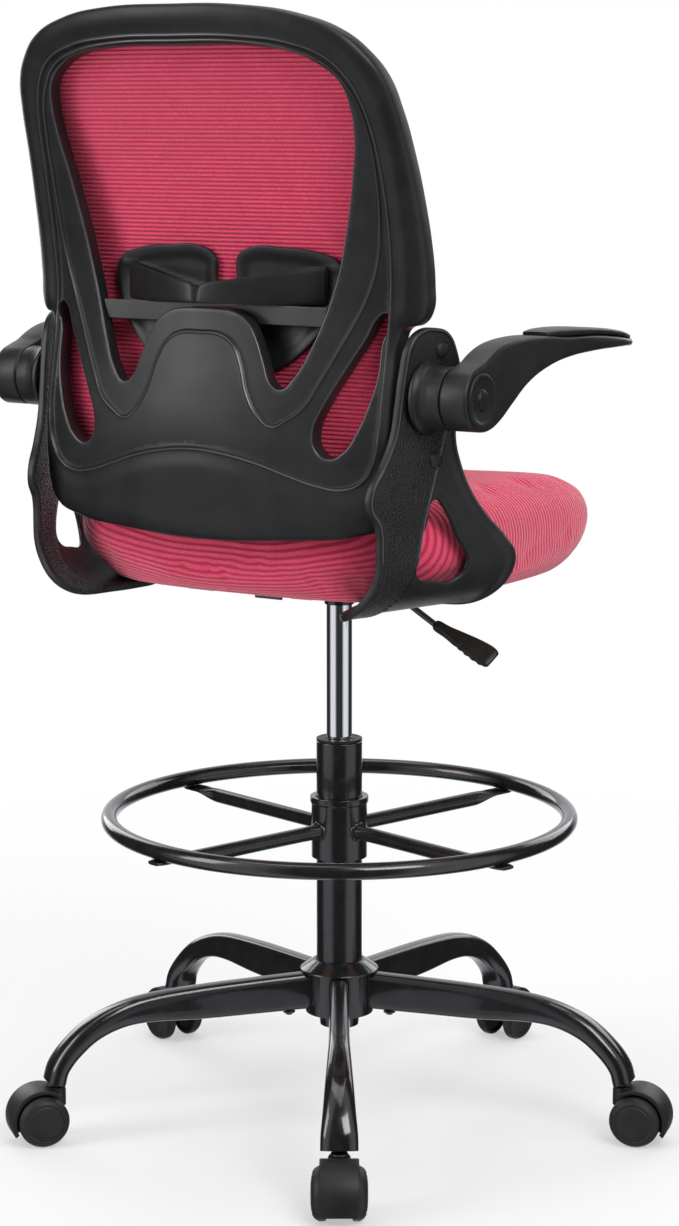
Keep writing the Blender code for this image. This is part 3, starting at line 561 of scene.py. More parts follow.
def ribbed_fabric(name, phase, depth, sparkle):
    """Ribbed knit: phase(where) counts ribs; the valleys are darkened as painted shade and single threads
    carry a painted glint.
    """
    made, shader, where = new_look(name, RED_MID, 0.82, Sheen_Weight=0.35, Sheen_Roughness=0.45,
                                   Specular_IOR_Level=0.25)
    wave = maths("COSINE", maths("MULTIPLY", phase(where), 2 * math.pi))
    crest = ramp(wave, (-1.0, 0.0), (0.45, 1.0))
    threads = noise(where, 1000.0, 2.0, 0.7, stretch=(0.55, 1.0, 1.0))
    glint = ramp(threads, (0.5, 0.0), (0.68, 1.0))
    # painted glint on single threads of the rib crests, and painted shade in the valleys between ribs
    lit = maths("MULTIPLY", maths("MULTIPLY", glint, crest), sparkle)
    colour = tint(lit, tint(crest, RED_SHADE_AND_PATCHES, RED_MID), RED_GLINT)
    uneven = ramp(noise(where, 55.0, 3.0), (0.3, 0.0), (0.7, 0.22))
    fill(shader, {
        "Base Color": tint(uneven, colour, RED_SHADE_AND_PATCHES),
        "Roughness": ramp(threads, (0.3, 0.92), (0.7, 0.68)),
    })
    bump(shader, threads, 0.0003, bump(shader, crest, depth))
    return made


RIB_PITCH = 0.0043           # of the back's mesh
KNIT_PITCH = 0.0056          # of the seat's cover


def height_in_ribs(where):
    up = node(where.id_data, "ShaderNodeSeparateXYZ", {"Vector": where}).outputs["Z"]
    return maths("MULTIPLY", up, 1 / RIB_PITCH)


def knit_run(where):
    return stored(where, "rib_run")


LOOKS = {
    "black_plastic": moulded_plastic("black_plastic", (0.011, 0.011, 0.0115), 0.38, 1500.0, 0.00004),
    "caster_plastic": moulded_plastic("caster_plastic", (0.013, 0.013, 0.0135), 0.42, 1400.0, 0.00005),
    "wheel_plastic": moulded_plastic("wheel_plastic", (0.015, 0.015, 0.0155), 0.46, 1600.0, 0.00005),
    "painted_steel": painted_steel(),
    "chrome": chromed(),
    "zinc_steel": zinc(),
    "plywood": plywood(),
    "red_knit": ribbed_fabric("red_knit", knit_run, 0.0011, 0.45),
    "red_mesh": ribbed_fabric("red_mesh", height_in_ribs, 0.0004, 0.55),
}
PEBBLED = moulded_plastic("black_plastic_pebbled", (0.012, 0.012, 0.0125), 0.36, 520.0, 0.0014, True)


# ---------------------------------------------------------------- base and casters
LEGS = range(1, 6)
LEG_STATIONS = [  # distance from the axis, height, section height, section width, squareness
    (0.0345, 0.1415, 0.041, 0.02, 4.2),
    (0.1, 0.1404, 0.0392, 0.0208, 4.2),
    (0.16, 0.1392, 0.037, 0.022, 3.8),
    (0.215, 0.138, 0.031, 0.023, 3.2),
    (0.25, 0.132, 0.027, 0.026, 2.8),
    (0.28, 0.119, 0.025, 0.03, 2.6),
    (0.303, 0.1, 0.024, 0.034, 2.5),
    (0.317, 0.082, 0.023, 0.038, 2.5),
    (0.322, 0.0662, 0.023, 0.039, 2.5),
]
LEG_END_EDGE = 0.0012
HUB_RADIUS = 0.0375
LEG_WELD_Z = 0.1413
LEG_WELD_HALF = (0.0112, 0.0218)
AXLE_TRAIL = 0.016
WHEEL_RADIUS = 0.0275
WHEEL_INNER = 0.013
WHEEL_OUTER = 0.029
HOOD_RADIUS = 0.0345
HOOD_WALL = 0.0048
HOOD_HALF_WIDTH = 0.02


def leg_angle(number):
    stem = spot(f"caster_stem_{number}")
    return math.degrees(math.atan2(stem.y, stem.x))


def leg_skin():
    """One leg lying along +X: a flattened tube, tall at the hub, that curves down to an oval end."""
    places = np.arange(len(LEG_STATIONS))
    at = np.concatenate([[0.0], np.linspace(0.02, len(LEG_STATIONS) - 1, 72)])
    rows = through(places, LEG_STATIONS, at)
    ahead = np.gradient(rows[:, :2], axis=0)
    rings = []
    for i, (reach, height, tall, wide, squareness) in enumerate(rows):
        along = Vector((ahead[i, 0], 0, ahead[i, 1])).normalized()
        up = Vector((0, -1, 0)).cross(along)
        centre = Vector((reach, 0, height))
        for inset in (0.0,) if i < len(rows) - 1 else (0.0, LEG_END_EDGE):
            rings.append([centre + Vector((0, 1, 0)) * across + up * rise
                          for across, rise in section(wide / 2 - inset, tall / 2 - inset, squareness, 36)])
    return skin(rings)


def build_base():
    low, high = span("base_hub")
    bottom, top, outer = low.z, high.z, high.x
    bore = 0.0253
    hub = [(HUB_RADIUS, 0.1622), (HUB_RADIUS, bottom), (0.0345, bottom), (0.0345, bottom + 0.004),
           (0.025, bottom + 0.004), (bore, 0.15), (bore, top), (0.0278, top), (outer, 0.1642),
           (outer, 0.1622)]
    make("hub_casting", turned(hub, radius=0.0012), "base", "painted_steel", ["base_hub"])
    for number in LEGS:
        turn = rotated(leg_angle(number), "Z")
        leg = leg_skin()
        leg.transform(turn)
        make(f"leg_tube_{number}", leg, "base", "painted_steel", [f"base_leg_{number}"])
        seam = [turn @ Vector((math.sqrt(HUB_RADIUS**2 - across**2) + 0.0004, across, LEG_WELD_Z + rise))
                for across, rise in section(*LEG_WELD_HALF, 4.2, 48)]
        make(f"leg_weld_{number}", ring_tube(seam, 0.0011, 8), "base", "painted_steel")
        bolt = spot(f"leg_bolt_{number}")
        head = mm([(0, 115.5), (3.4, 115.5), (4, 116.3), (4, 117.8), (6.6, 118), (6.6, 119.6), (3, 120),
                   (3, 130), (0, 130)])
        make(f"leg_screw_{number}", turned(head, 32, 0.0004, moved(bolt.x, bolt.y)), "base", "zinc_steel",
             [f"leg_bolt_{number}"])


def arc(centre, radius, start, end, count):
    angles = np.radians(np.linspace(start, end, count))
    return np.stack([centre[0] + radius * np.cos(angles), centre[1] + radius * np.sin(angles)], axis=1)


def plate(outline, half_width, edge):
    """An outline in the caster's (outward, up) plane, as thick as the caster, with rounded edges."""
    def face(side):
        def place(points, gap):
            y = side * (half_width - rounding(gap, edge))
            return np.stack([points[:, 0], y, points[:, 1]], axis=1)
        return place
    return shell([outline], 0.006, face(-1), face(1), edge=edge, edge_spacing=0.0018)


def hood_mesh():
    """The caster's hood about its stem: a curved cover over both wheels, a web between them, a neck."""
    axle = (AXLE_TRAIL, WHEEL_RADIUS)
    inner = HOOD_RADIUS - HOOD_WALL
    lowest, highest = -26, 124
    cover = np.vstack([arc(axle, HOOD_RADIUS, lowest, highest, 60),
                       arc(axle, inner, highest - 4, lowest + 1, 54)])
    web = np.vstack([arc(axle, inner + 0.002, lowest + 4, highest - 3, 44), arc(axle, 0.0095, 150, 305, 16)])
    neck = mm([(0, 40), (12, 40), (12, 57), (10.8, 61.2), (6.2, 61.4), (6.2, 56), (0, 56)])
    boss = mm([(0, -12.6), (6.8, -12.6), (6.8, 12.6), (0, 12.6)])
    axle_turn = moved(axle[0], 0, axle[1]) @ rotated(90, "X")
    return united(plate(cover, HOOD_HALF_WIDTH, 0.0014), plate(web, WHEEL_INNER - 0.0008, 0.0008),
                  turned(neck, 48, 0.0008), turned(boss, 40, 0.0004, axle_turn))


def build_casters():
    hood = hood_mesh()
    shape = bpy.data.meshes.new("hood")
    hood.to_mesh(shape)
    hood.free()
    stem = mm([(0, 64), (8.8, 64), (8.8, 62.1), (5.2, 61.9), (5.2, 56.5), (0, 56.5)])
    wheel = [(0.0, WHEEL_OUTER), (0.0105, WHEEL_OUTER - 0.0002), (0.0178, WHEEL_OUTER - 0.0011),
             (0.0188, WHEEL_OUTER - 0.0021), (0.02, WHEEL_OUTER - 0.0022), (0.021, WHEEL_OUTER - 0.0016),
             (0.0248, WHEEL_OUTER - 0.004), (WHEEL_RADIUS, WHEEL_OUTER - 0.0085),
             (WHEEL_RADIUS, WHEEL_INNER + 0.0014), (WHEEL_RADIUS - 0.0014, WHEEL_INNER),
             (0.0235, WHEEL_INNER), (0.023, WHEEL_INNER + 0.0035), (0.011, WHEEL_INNER + 0.0035),
             (0.0105, WHEEL_INNER), (0.0, WHEEL_INNER)]
    for number in LEGS:
        place = spot(f"caster_stem_{number}")
        local = moved(place.x, place.y) @ rotated(leg_angle(number), "Z")
        bm = bmesh.new()
        bm.from_mesh(shape)
        bm.transform(local)
        make(f"hood_cover_{number}", bm, f"caster_{number}", "caster_plastic", [f"caster_hood_{number}"])
        make(f"stem_collar_{number}", turned(stem, 40, 0.0004, local), f"caster_{number}", "zinc_steel",
             [f"caster_stem_{number}"])
        for letter, lean in (("a", 90), ("b", -90)):
            matrix = local @ moved(AXLE_TRAIL, 0, WHEEL_RADIUS) @ rotated(lean, "X")
            side = spot(f"caster_wheel_{number}{letter}")
            if (matrix @ Vector((0, 0, WHEEL_OUTER)) - side).length > 0.03:
                matrix = matrix @ rotated(180, "X")
            make(f"wheel_{number}{letter}", turned(wheel, 72, 0.0009, matrix), f"wheel_{number}{letter}",
                 "wheel_plastic", [f"caster_wheel_{number}{letter}"])
    bpy.data.meshes.remove(shape)


# ---------------------------------------------------------------- gas lift and foot ring
TUBE_RADIUS = 0.025
TUBE_BORE = 0.0234
SLEEVE_RADIUS = 0.0305
CRIMP_Z = 0.4045
SPOKE_Z = 0.322
FIRST_SPOKE = 74             # degrees
SPOKE_WELD_RADIUS = 0.0088


def build_lift():
    low, high = span("column_tube")
    tube_profile = [(0.0, low.z), (0.0213, low.z), (0.0228, 0.116), (TUBE_RADIUS, 0.15),
                    (TUBE_RADIUS, high.z - 0.0008), (TUBE_RADIUS - 0.0008, high.z), (TUBE_BORE, high.z),
                    (TUBE_BORE, 0.152), (0.019, 0.142), (0.019, low.z + 0.004), (0.0, low.z + 0.004)]
    make("lift_outer_tube", turned(tube_profile, radius=0.0006), "base", "painted_steel", ["column_tube"])
    _, rim = span("column_bushing")
    bushing = [(0.0231, high.z + 0.0002), (0.0231, 0.335), (0.0143, 0.335), (0.0143, rim.z - 0.0012),
               (0.016, rim.z), (0.019, rim.z - 0.0006), (0.0205, rim.z - 0.0006), (0.0222, rim.z),
               (TUBE_RADIUS, rim.z - 0.0004), (TUBE_RADIUS, high.z + 0.0002)]
    make("lift_bushing", turned(bushing, radius=0.0005), "base", "black_plastic", ["column_bushing"])
    for turn_degrees in (118, 142):
        mark = rotated(turn_degrees, "Z") @ moved(TUBE_RADIUS, 0, CRIMP_Z) @ rotated(90, "Y")
        dimple = mm([(0, -1.4), (1.3, -1.2), (1.7, 0.1), (2.5, 0), (2.7, -1), (0, -1.8)])
        make(f"crimp_{turn_degrees}", turned(dimple, 24, 0.0002, mark), "base", "painted_steel")
    base, tip = span("gas_piston")
    piston = [(0.0, tip.z), (0.0134, tip.z), (0.014, tip.z - 0.004), (0.014, base.z), (0.0, base.z)]
    make("lift_piston", turned(piston, radius=0.0005), "lift", "chrome", ["gas_piston"])


def build_foot_ring():
    low, high = span("foot_ring")
    tube_radius = (high.z - low.z) / 2
    ring_radius = high.x - tube_radius
    ring_z = (high.z + low.z) / 2
    circle = [polar(ring_radius, 360 * k / 240, ring_z) for k in range(240)]
    make("ring_tube", ring_tube(circle, tube_radius, 28), "foot_ring", "painted_steel", ["foot_ring"])
    bottom, top = span("foot_ring_spider")
    bore = TUBE_RADIUS + 0.0003
    sleeve = [(SLEEVE_RADIUS + 0.0014, top.z), (SLEEVE_RADIUS + 0.0014, top.z - 0.0066),
              (SLEEVE_RADIUS, top.z - 0.0078), (SLEEVE_RADIUS, bottom.z), (bore, bottom.z),
              (bore, top.z - 0.0016), (bore + 0.0016, top.z)]
    make("ring_sleeve", turned(sleeve, radius=0.0007), "foot_ring", "painted_steel", ["foot_ring_spider"])
    under = ring_z - tube_radius - 0.0022
    for number in range(4):
        turn = rotated(FIRST_SPOKE + 90 * number, "Z")
        rings, spoke_half, tab = [], 0.008, (0.0034, -0.006)
        for reach in np.concatenate([[SLEEVE_RADIUS - 0.003], np.linspace(0.19, ring_radius + 0.009, 40)]):
            flat = smoothstep(0.204, 0.234, reach)
            wide, tall = (spoke_half + change * flat for change in tab)
            height = SPOKE_Z + (under - SPOKE_Z) * flat
            wide *= 1 - 0.35 * smoothstep(ring_radius, ring_radius + 0.012, reach)
            rings.append([turn @ Vector((reach, across, height + rise))
                          for across, rise in section(wide, tall, 2.0 + 2 * flat, 28)])
        make(f"ring_spoke_{number + 1}", skin(rings), "foot_ring", "painted_steel")
        bead, thick = [], []
        for k in range(40):
            angle = 2 * math.pi * k / 40
            across, rise = SPOKE_WELD_RADIUS * math.cos(angle), SPOKE_WELD_RADIUS * math.sin(angle)
            bead.append(turn @ Vector((math.sqrt(SLEEVE_RADIUS**2 - across**2) + 0.0006, across,
                                       SPOKE_Z + rise)))
            thick.append(0.0019 + 0.0005 * math.sin(5 * angle + number) + 0.0003 * math.sin(11 * angle))
        make(f"spoke_weld_{number + 1}", ring_tube(bead, np.array(thick), 10), "foot_ring", "painted_steel")


# ---------------------------------------------------------------- tilt mechanism and lever
def ease_edges(name, look, width=0.0007):
    """A CAD node with its sharp edges eased and its finish on."""
    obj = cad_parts[name]
    weld = obj.modifiers.new("Weld", "WELD")
    weld.merge_threshold = 0.00001
    bevel = obj.modifiers.new("Edges", "BEVEL")
    bevel.width = width
    bevel.segments = 2
    bevel.limit_method = "ANGLE"
    bevel.angle_limit = math.radians(35)
    obj.data.materials.clear()
    obj.data.materials.append(LOOKS[look])


def build_mechanism():
    for name in ("tilt_housing", "seat_plate"):
        ease_edges(name, "painted_steel")
    ease_edges("tilt_pin", "zinc_steel", 0.0003)
    low, high = span("tension_knob")
    place = spot("tension_knob")
    grip_low, grip_high = low.z, low.z + 0.0126
    knob = [(0.0, high.z), (0.0039, high.z), (0.0039, grip_high + 0.0002), (0.015, grip_high),
            (0.019, grip_high - 0.002), (0.0192, grip_low + 0.004), (0.016, grip_low + 0.0004),
            (0.011, grip_low), (0.01, grip_low + 0.0012), (0.0, grip_low + 0.0012)]

    def lobes(angle, height):
        gripped = smoothstep(grip_low, grip_low + 0.004, height) * (height < grip_high + 0.0001)
        return 1 + 0.035 * float(gripped) * (math.cos(12 * angle) - 1) / 2

    make("tension_grip", turned(knob, 144, 0.0008, moved(place.x, place.y), lobes), "tension_knob",
         "black_plastic", ["tension_knob"])


def build_lever():
    y, pivot_z = -0.02, 0.5865
    scallops, scallop_depth, dish_depth = 8, 0.0011, 0.0008
    route = [(-0.0122, y, pivot_z), (-0.03, y, pivot_z), (-0.046, y, pivot_z), (-0.0525, y, 0.5855),
             (-0.059, y, 0.5826), (-0.085, y, 0.5673), (-0.116, y, 0.549), (-0.127, y, 0.5425)]
    points = through(range(len(route)), route, np.linspace(0, len(route) - 1, 60))
    make("lever_wire", tube(points, 0.0034, 20), "lever", "painted_steel", ["lever_rod"])
    start, tip = Vector((-0.1085, y, 0.5534)), Vector((-0.179, y, 0.5221))
    along = (tip - start).normalized()
    facing = Vector((0, 0.62, 0.78))
    across = along.cross(facing).normalized()
    facing = across.cross(along)
    stations = [(0.0, 0.0092, 0.0092), (0.04, 0.0112, 0.0108), (0.2, 0.0124, 0.0112),
                (0.42, 0.018, 0.0106), (0.66, 0.024, 0.0092), (0.86, 0.0262, 0.008),
                (0.96, 0.0242, 0.0068), (1.0, 0.0206, 0.0048)]
    places = [row[0] for row in stations]
    rings = []
    for part in np.concatenate([np.linspace(0, 0.05, 5), np.linspace(0.07, 1.0, 70)]):
        wide, thick = through(places, [row[1:] for row in stations], [part])[0]
        centre = start.lerp(tip, float(part))
        scallop = scallop_depth * (1 - math.cos(2 * math.pi * part * scallops)) / 2 * float(
            smoothstep(0.36, 0.5, part) * (1 - smoothstep(0.9, 0.98, part)))
        dish = dish_depth * float(smoothstep(0.45, 0.55, part) * (1 - smoothstep(0.84, 0.92, part)))
        ring = []
        for a, b in section(wide / 2, thick / 2, 3.4, 40):
            if a > 0:
                a = max(a - scallop * (a / (wide / 2)) ** 2, 0.0)
            if b > 0:
                b -= dish * float(1 - smoothstep(0.62, 0.8, abs(a) / (wide / 2)))
            ring.append(centre + across * a + facing * b)
        rings.append(ring)
    make("lever_grip", skin(rings), "lever", "black_plastic", ["lever_paddle"])


# ---------------------------------------------------------------- seat cushion
SEAT_SQUARENESS = 3.4
CLOTH_FRAMES = 20
CLOTH_PRESSURE = 4.0
HEM_SHARE = 0.802            # of the half width
STAPLES = 22
SEAT_PROFILE = (  # share of the full half width, height
    (0.78, 0.608), (0.83, 0.6082), (0.868, 0.612), (0.925, 0.624), (0.97, 0.641), (0.99, 0.662),
    (0.984, 0.679), (0.955, 0.695), (0.89, 0.7065), (0.75, 0.7125), (0.5, 0.715), (0.2, 0.7165),
)


def seat_ring(half_x, half_y, height, centre_y, count=96):
    """One ring of the seat; its front edge drops away as it nears the top."""
    low, high = 0.655, 0.72
    share = max(0.0, (height - low) / (high - low))
    return [Vector((x, y + centre_y, height - 0.03 * share * max(0.0, -y / half_y - 0.2) ** 2))
            for x, y in section(half_x, half_y, SEAT_SQUARENESS, count)]


def rib_run(mesh, half_x, half_y, crown, centre_y):
    """Store how far round the cover each point is: front to back over the top and down the two ends."""
    points = np.empty(len(mesh.vertices) * 3)
    mesh.vertices.foreach_get("co", points)
    x, y, z = (points.reshape(-1, 3) - np.array((*COLUMN.xy, 0))).T
    y = y - centre_y
    ahead, across = np.abs(y / half_y) ** 5, np.abs(x / half_x) ** 5
    facing_end = ahead / (ahead + across + 0.02)
    drop = np.clip(crown - 0.006 - z, 0, None)
    run = y - 0.78 * np.sign(y) * drop * facing_end
    run += 0.0012 * np.sin(x * 21 + y * 9) + 0.0007 * np.sin(x * 55 - z * 40)
    layer = mesh.attributes.new("rib_run", "FLOAT", "POINT")
    layer.data.foreach_set("value", (run / KNIT_PITCH).astype(np.float32))


def settle(obj, pinned_below, cap):
    """Blow the cushion up slightly as cloth, with its underside held, and keep the result."""
    rest = np.empty(len(obj.data.vertices) * 3)
    obj.data.vertices.foreach_get("co", rest)
    rest = rest.reshape(-1, 3)
    held = obj.vertex_groups.new(name="held")
    held.add([int(i) for i in np.nonzero(rest[:, 2] < pinned_below)[0]], 1.0, "REPLACE")
    cloth = obj.modifiers.new("Cloth", "CLOTH")
    cloth.settings.use_pressure = True
    cloth.settings.uniform_pressure_force = CLOTH_PRESSURE
    cloth.settings.effector_weights.gravity = 0.0
    cloth.settings.vertex_group_mass = held.name
    cloth.settings.quality = 5
    cloth.point_cache.frame_start, cloth.point_cache.frame_end = 1, CLOTH_FRAMES
    scene = bpy.context.scene
    for moment in range(1, CLOTH_FRAMES + 1):
        scene.frame_set(moment)
    evaluated = obj.evaluated_get(bpy.context.evaluated_depsgraph_get())
    blown = np.empty(rest.size)
    evaluated.data.vertices.foreach_get("co", blown)
    way = blown.reshape(-1, 3) - rest
    far = np.linalg.norm(way, axis=1)
    way *= np.minimum(1.0, cap / np.maximum(far, 1e-9))[:, None]
    obj.modifiers.remove(cloth)
    obj.vertex_groups.remove(held)
    scene.frame_set(1)
    obj.data.vertices.foreach_set("co", (rest + way).ravel())
    obj.data.update()


def applied(obj, kind, **settings):
    """Run one modifier on a piece's mesh and keep the result."""
    modifier = obj.modifiers.new(kind, kind)
    for key, value in settings.items():
        setattr(modifier, key, value)
    evaluated = obj.evaluated_get(bpy.context.evaluated_depsgraph_get())
    mesh = bpy.data.meshes.new_from_object(evaluated)
    obj.modifiers.remove(modifier)
    obj.data = mesh


def build_seat():
    low, high = span("seat_cushion")
    half_x, half_y = (high.x - low.x) / 2, (high.y - low.y) / 2
    centre_y, crown = (high.y + low.y) / 2, high.z
    places = np.arange(len(SEAT_PROFILE))
    rows = through(places, SEAT_PROFILE, np.linspace(0, len(places) - 1, 60))
    start = skin([seat_ring(half_x * part, half_y * part, height, centre_y) for part, height in rows])
    mesh = as_mesh("cover", start)
    mesh.transform(moved(*COLUMN))
    cover = placed(bpy.data.objects.new("cushion_cover", mesh))
    applied(cover, "REMESH", mode="VOXEL", voxel_size=0.005, use_smooth_shade=True)
    applied(cover, "SMOOTH", factor=0.5, iterations=4)
    settle(cover, low.z + 0.006, 0.005)
    applied(cover, "SUBSURF", levels=1)
    rib_run(cover.data, half_x, half_y, crown, centre_y)
    bpy.context.scene.collection.objects.unlink(cover)
    cushion = finish_piece("cushion_knit", cover.data, "seat", "red_knit", ["seat_cushion"], sharp=80.0)
    ease_edges("seat_board", "plywood")
    hem = seat_ring(half_x * HEM_SHARE, half_y * HEM_SHARE, low.z + 0.0012, centre_y, 10 * STAPLES)
    make("cushion_hem", ring_tube(hem, 0.0014, 8), "seat", "red_knit")
    for i in range(STAPLES):
        near, far = hem[10 * i], hem[10 * i + 2]
        inner = (near + far) / 2 * Vector((0.985, 0.985, 1.0)) - Vector((0, 0, 0.0018))
        staple = tube([inner - (far - near) * 0.9, inner + (far - near) * 0.9], 0.0005, 8)
        make(f"staple_{i + 1}", staple, "seat", "zinc_steel")


# ---------------------------------------------------------------- back
BACK_THICKNESS = 0.0245
MESH_THICKNESS = 0.003
MESH_CLEARANCE = 0.0018
MIDLINE = mm([
    (671, 268), (780, 281), (930, 264), (1060, 278), (1197, 322),
])
HOLLOW = ((0.671, 0.65), (0.78, 0.77), (0.9, 0.86), (1.02, 0.64), (1.1, 0.5), (1.197, 0.5))
OUTER_HALF = mm([
    (0, 1197), (80, 1195), (137, 1186), (178, 1170), (200.5, 1150), (214.5, 1128), (222, 1096),
    (226.5, 1055), (229.5, 1015), (231.8, 970), (232.5, 930), (231, 903), (224, 891.5), (213, 887.5),
    (209, 876), (207.5, 840), (207, 790), (207, 740), (205.5, 715), (196, 694), (172, 684), (100, 676),
    (0, 671),
])
OPENING_HALF = mm([
    (0, 1157), (85, 1156), (126, 1150), (153, 1138), (170, 1122), (176, 1100), (175.5, 1070), (169, 1035),
    (157, 980), (143, 925), (121, 863), (107.5, 838), (94.5, 826.2), (84, 831), (74.5, 851), (65, 873),
    (54, 890), (40, 899), (20, 902.5), (0, 903),
])
SLOT = mm([
    (195.5, 902), (192.5, 870), (191.5, 840), (186, 815), (176, 788), (163, 768), (147, 760.5),
    (135, 769), (132.5, 788), (141, 810), (158, 842), (177, 876), (190, 900),
])
RIM_HALF = mm([  # the ridge inside the outer rim, which waves across the back below the slots
    (0, 1167), (82, 1165), (131, 1158), (163, 1145), (180, 1128), (190, 1108), (196.5, 1080), (200, 1040),
    (201.5, 1000), (201.5, 959), (200.5, 914), (199.5, 869), (199.5, 824), (198.5, 785), (194, 757),
    (182.5, 739), (163, 731), (137, 733.5), (105, 743), (76, 752.5), (36, 761), (0, 764),
])
LIP_HALF = mm([  # the step round the middle opening
    (0, 1162), (81, 1160), (129, 1152), (160, 1139), (177, 1120), (186.5, 1100), (192, 1070),
    (193.5, 1030), (192, 990), (187, 950), (176, 915), (162, 885), (147, 855), (136, 834), (122, 810),
    (105, 797), (88, 790), (73, 800), (60, 820), (50, 850), (40, 868), (26, 877), (0, 879),
])
MESH_HALF = mm([
    (0, 1188), (80, 1186), (132, 1178), (172, 1163), (194, 1144), (208, 1120), (216, 1080), (221, 1020),
    (224, 950), (219, 915), (203, 888), (201, 840), (201, 745), (197, 716), (186, 702), (160, 693),
    (80, 686), (0, 683),
])


def knots(pairs, at):
    return through([place for place, _ in pairs], [value for _, value in pairs], at)


def back_rear(x, z):
    return knots(MIDLINE, z) - knots(HOLLOW, z) * x * x


def mesh_rear(x, z):
    """y of the mesh's rear face: taut from side to side, fast to the frame at its edge."""
    edge = 0.2035 + 0.0225 * smoothstep(0.885, 0.935, z)
    taut = 0.72 * smoothstep(0.683, 0.8, z) * (1 - smoothstep(1.02, 1.188, z))
    forward = knots(HOLLOW, z) * (1 - taut) * np.maximum(edge * edge - x * x, 0.0)
    return back_rear(edge, z) - BACK_THICKNESS - MESH_CLEARANCE + forward


def stacked(x, y, z):
    return np.stack([x, y, z], axis=1)


def build_back_frame():
    outer = closed_curve(mirrored(OUTER_HALF))
    opening = closed_curve(mirrored(OPENING_HALF))
    slot_left = closed_curve(SLOT)
    slot_right = slot_left * (-1, 1)
    holes = [opening, slot_left, slot_right]
    rim = even(closed_curve(mirrored(RIM_HALF)), 0.0015)
    lip = even(closed_curve(mirrored(LIP_HALF)), 0.0015)
    edge, round_edge = 0.0018, 0.0085

    def rear(points, _gap):
        x, z = points.T
        to_outer = distance(points, outer)
        to_hole = np.min([distance(points, hole) for hole in holes], axis=0)
        past_rim, past_lip = depth_inside(points, rim), depth_inside(points, lip)
        sunk = rounding(to_outer, round_edge) * 0.85 + rounding(to_hole, edge)
        sunk += 0.003 * smoothstep(0.0, 0.0035, past_rim) + 0.0022 * smoothstep(0.0, 0.003, past_lip)
        sunk -= 0.0013 * np.exp(-(past_rim / 0.0012) ** 2) + 0.0011 * np.exp(-(past_lip / 0.0011) ** 2)
        swell = 0.0035 * smoothstep(0.0, 0.02, -past_rim) * smoothstep(0.003, 0.018, to_outer)
        return stacked(x, back_rear(x, z) - 0.003 - sunk + swell * 0.8, z)

    def front(points, gap):
        x, z = points.T
        return stacked(x, back_rear(x, z) - BACK_THICKNESS + rounding(gap, edge), z)

    near = (-0.0028, -0.0018, -0.0011, -0.0005, 0.0, 0.0005, 0.0011, 0.0018, 0.0026, 0.0035)
    lines = [(rim, near), (lip, near), (outer, (0.003, 0.0045, 0.006, 0.0085))]
    bm = shell([outer] + holes, 0.0042, rear, front, lines, edge, 0.0028)
    # the ridge lines and the edges of the holes are stored as the mask of a painted highlight
    at = np.array([(vertex.co.x, vertex.co.z) for vertex in bm.verts])
    ridge = np.minimum(distance(at, rim), distance(at, lip))
    to_hole = np.min([distance(at, hole) for hole in holes], axis=0)
    hole_edge_highlight = 0.8 * np.exp(-((to_hole - 0.001) / 0.0008) ** 2)
    store(bm, "painted_highlight", np.maximum(np.exp(-(ridge / 0.0008) ** 2), hole_edge_highlight))
    make("back_shell", bm, "seat", "black_plastic", ["back_frame"], sharp=50.0)
    ease_edges("lumbar_rail", "black_plastic")


def build_back_mesh():
    outline = even(closed_curve(mirrored(MESH_HALF)), 0.001)
    low, high = outline[:, 1].min() + 0.0006, outline[:, 1].max() - 0.0006
    ribs = np.arange(math.floor(low / RIB_PITCH), math.ceil(high / RIB_PITCH) + 1)
    heights = (ribs[:, None] + np.array((-0.5, -0.43, -0.28, 0.0, 0.28, 0.43))).ravel() * RIB_PITCH
    heights = heights[(heights > low) & (heights < high)]
    right = outline[outline[:, 0] >= 0]
    right = right[np.argsort(right[:, 1])]
    half = np.interp(heights, right[:, 1], right[:, 0]) - 0.0008
    across = np.sin(np.linspace(-math.pi / 2, math.pi / 2, 53))
    bm = bmesh.new()
    grids = []
    for side in (1, -1):
        grid = []
        for z, reach in zip(heights, half):
            x = across * reach
            crest = abs(math.cos(math.pi * z / RIB_PITCH)) ** 0.7
            deep = 0.0007 * (1 - crest)
            y = mesh_rear(x, z)
            y = y - 0.0004 - deep if side > 0 else y - MESH_THICKNESS + 0.0004 + deep
            grid.append([bm.verts.new(point) for point in stacked(x, y, np.full_like(x, z))])
        grids.append(grid)
    for grid in grids:
        for lower, upper in zip(grid, grid[1:]):
            for i in range(len(lower) - 1):
                bm.faces.new((lower[i], lower[i + 1], upper[i + 1], upper[i]))
    rear, front = grids
    rims = [[row[0] for row in g] + g[-1] + [row[-1] for row in g[::-1]] + g[0][::-1] for g in (rear, front)]
    rims = [list(dict.fromkeys(rim)) for rim in rims]
    for i in range(len(rims[0])):
        j = (i + 1) % len(rims[0])
        bm.faces.new((rims[0][i], rims[0][j], rims[1][j], rims[1][i]))
    make("mesh_cloth", bm, "seat", "red_mesh", ["back_mesh"], sharp=70.0)
    binding = even(closed_curve(mirrored(MESH_HALF)), 0.004)
    centre_z, shrink = 0.935, 0.9955
    x, z = binding[:, 0] * shrink, centre_z + (binding[:, 1] - centre_z) * shrink
    cord = stacked(x, mesh_rear(x, z) - MESH_THICKNESS / 2, z)
    make("mesh_binding", ring_tube(cord, 0.0019, 10), "seat", "red_mesh")


WING = mm([
    (12, 932), (14, 952), (28, 961), (70, 962), (112, 957), (132, 948), (139, 930), (132, 906),
    (115, 880), (93, 857), (68, 841), (46, 835.5), (28, 842), (16.5, 858), (11.5, 880), (11.5, 905),
])
FOLD = mm([
    (0, 916.5), (30, 919.5), (70, 930), (110, 940), (140, 944),
])


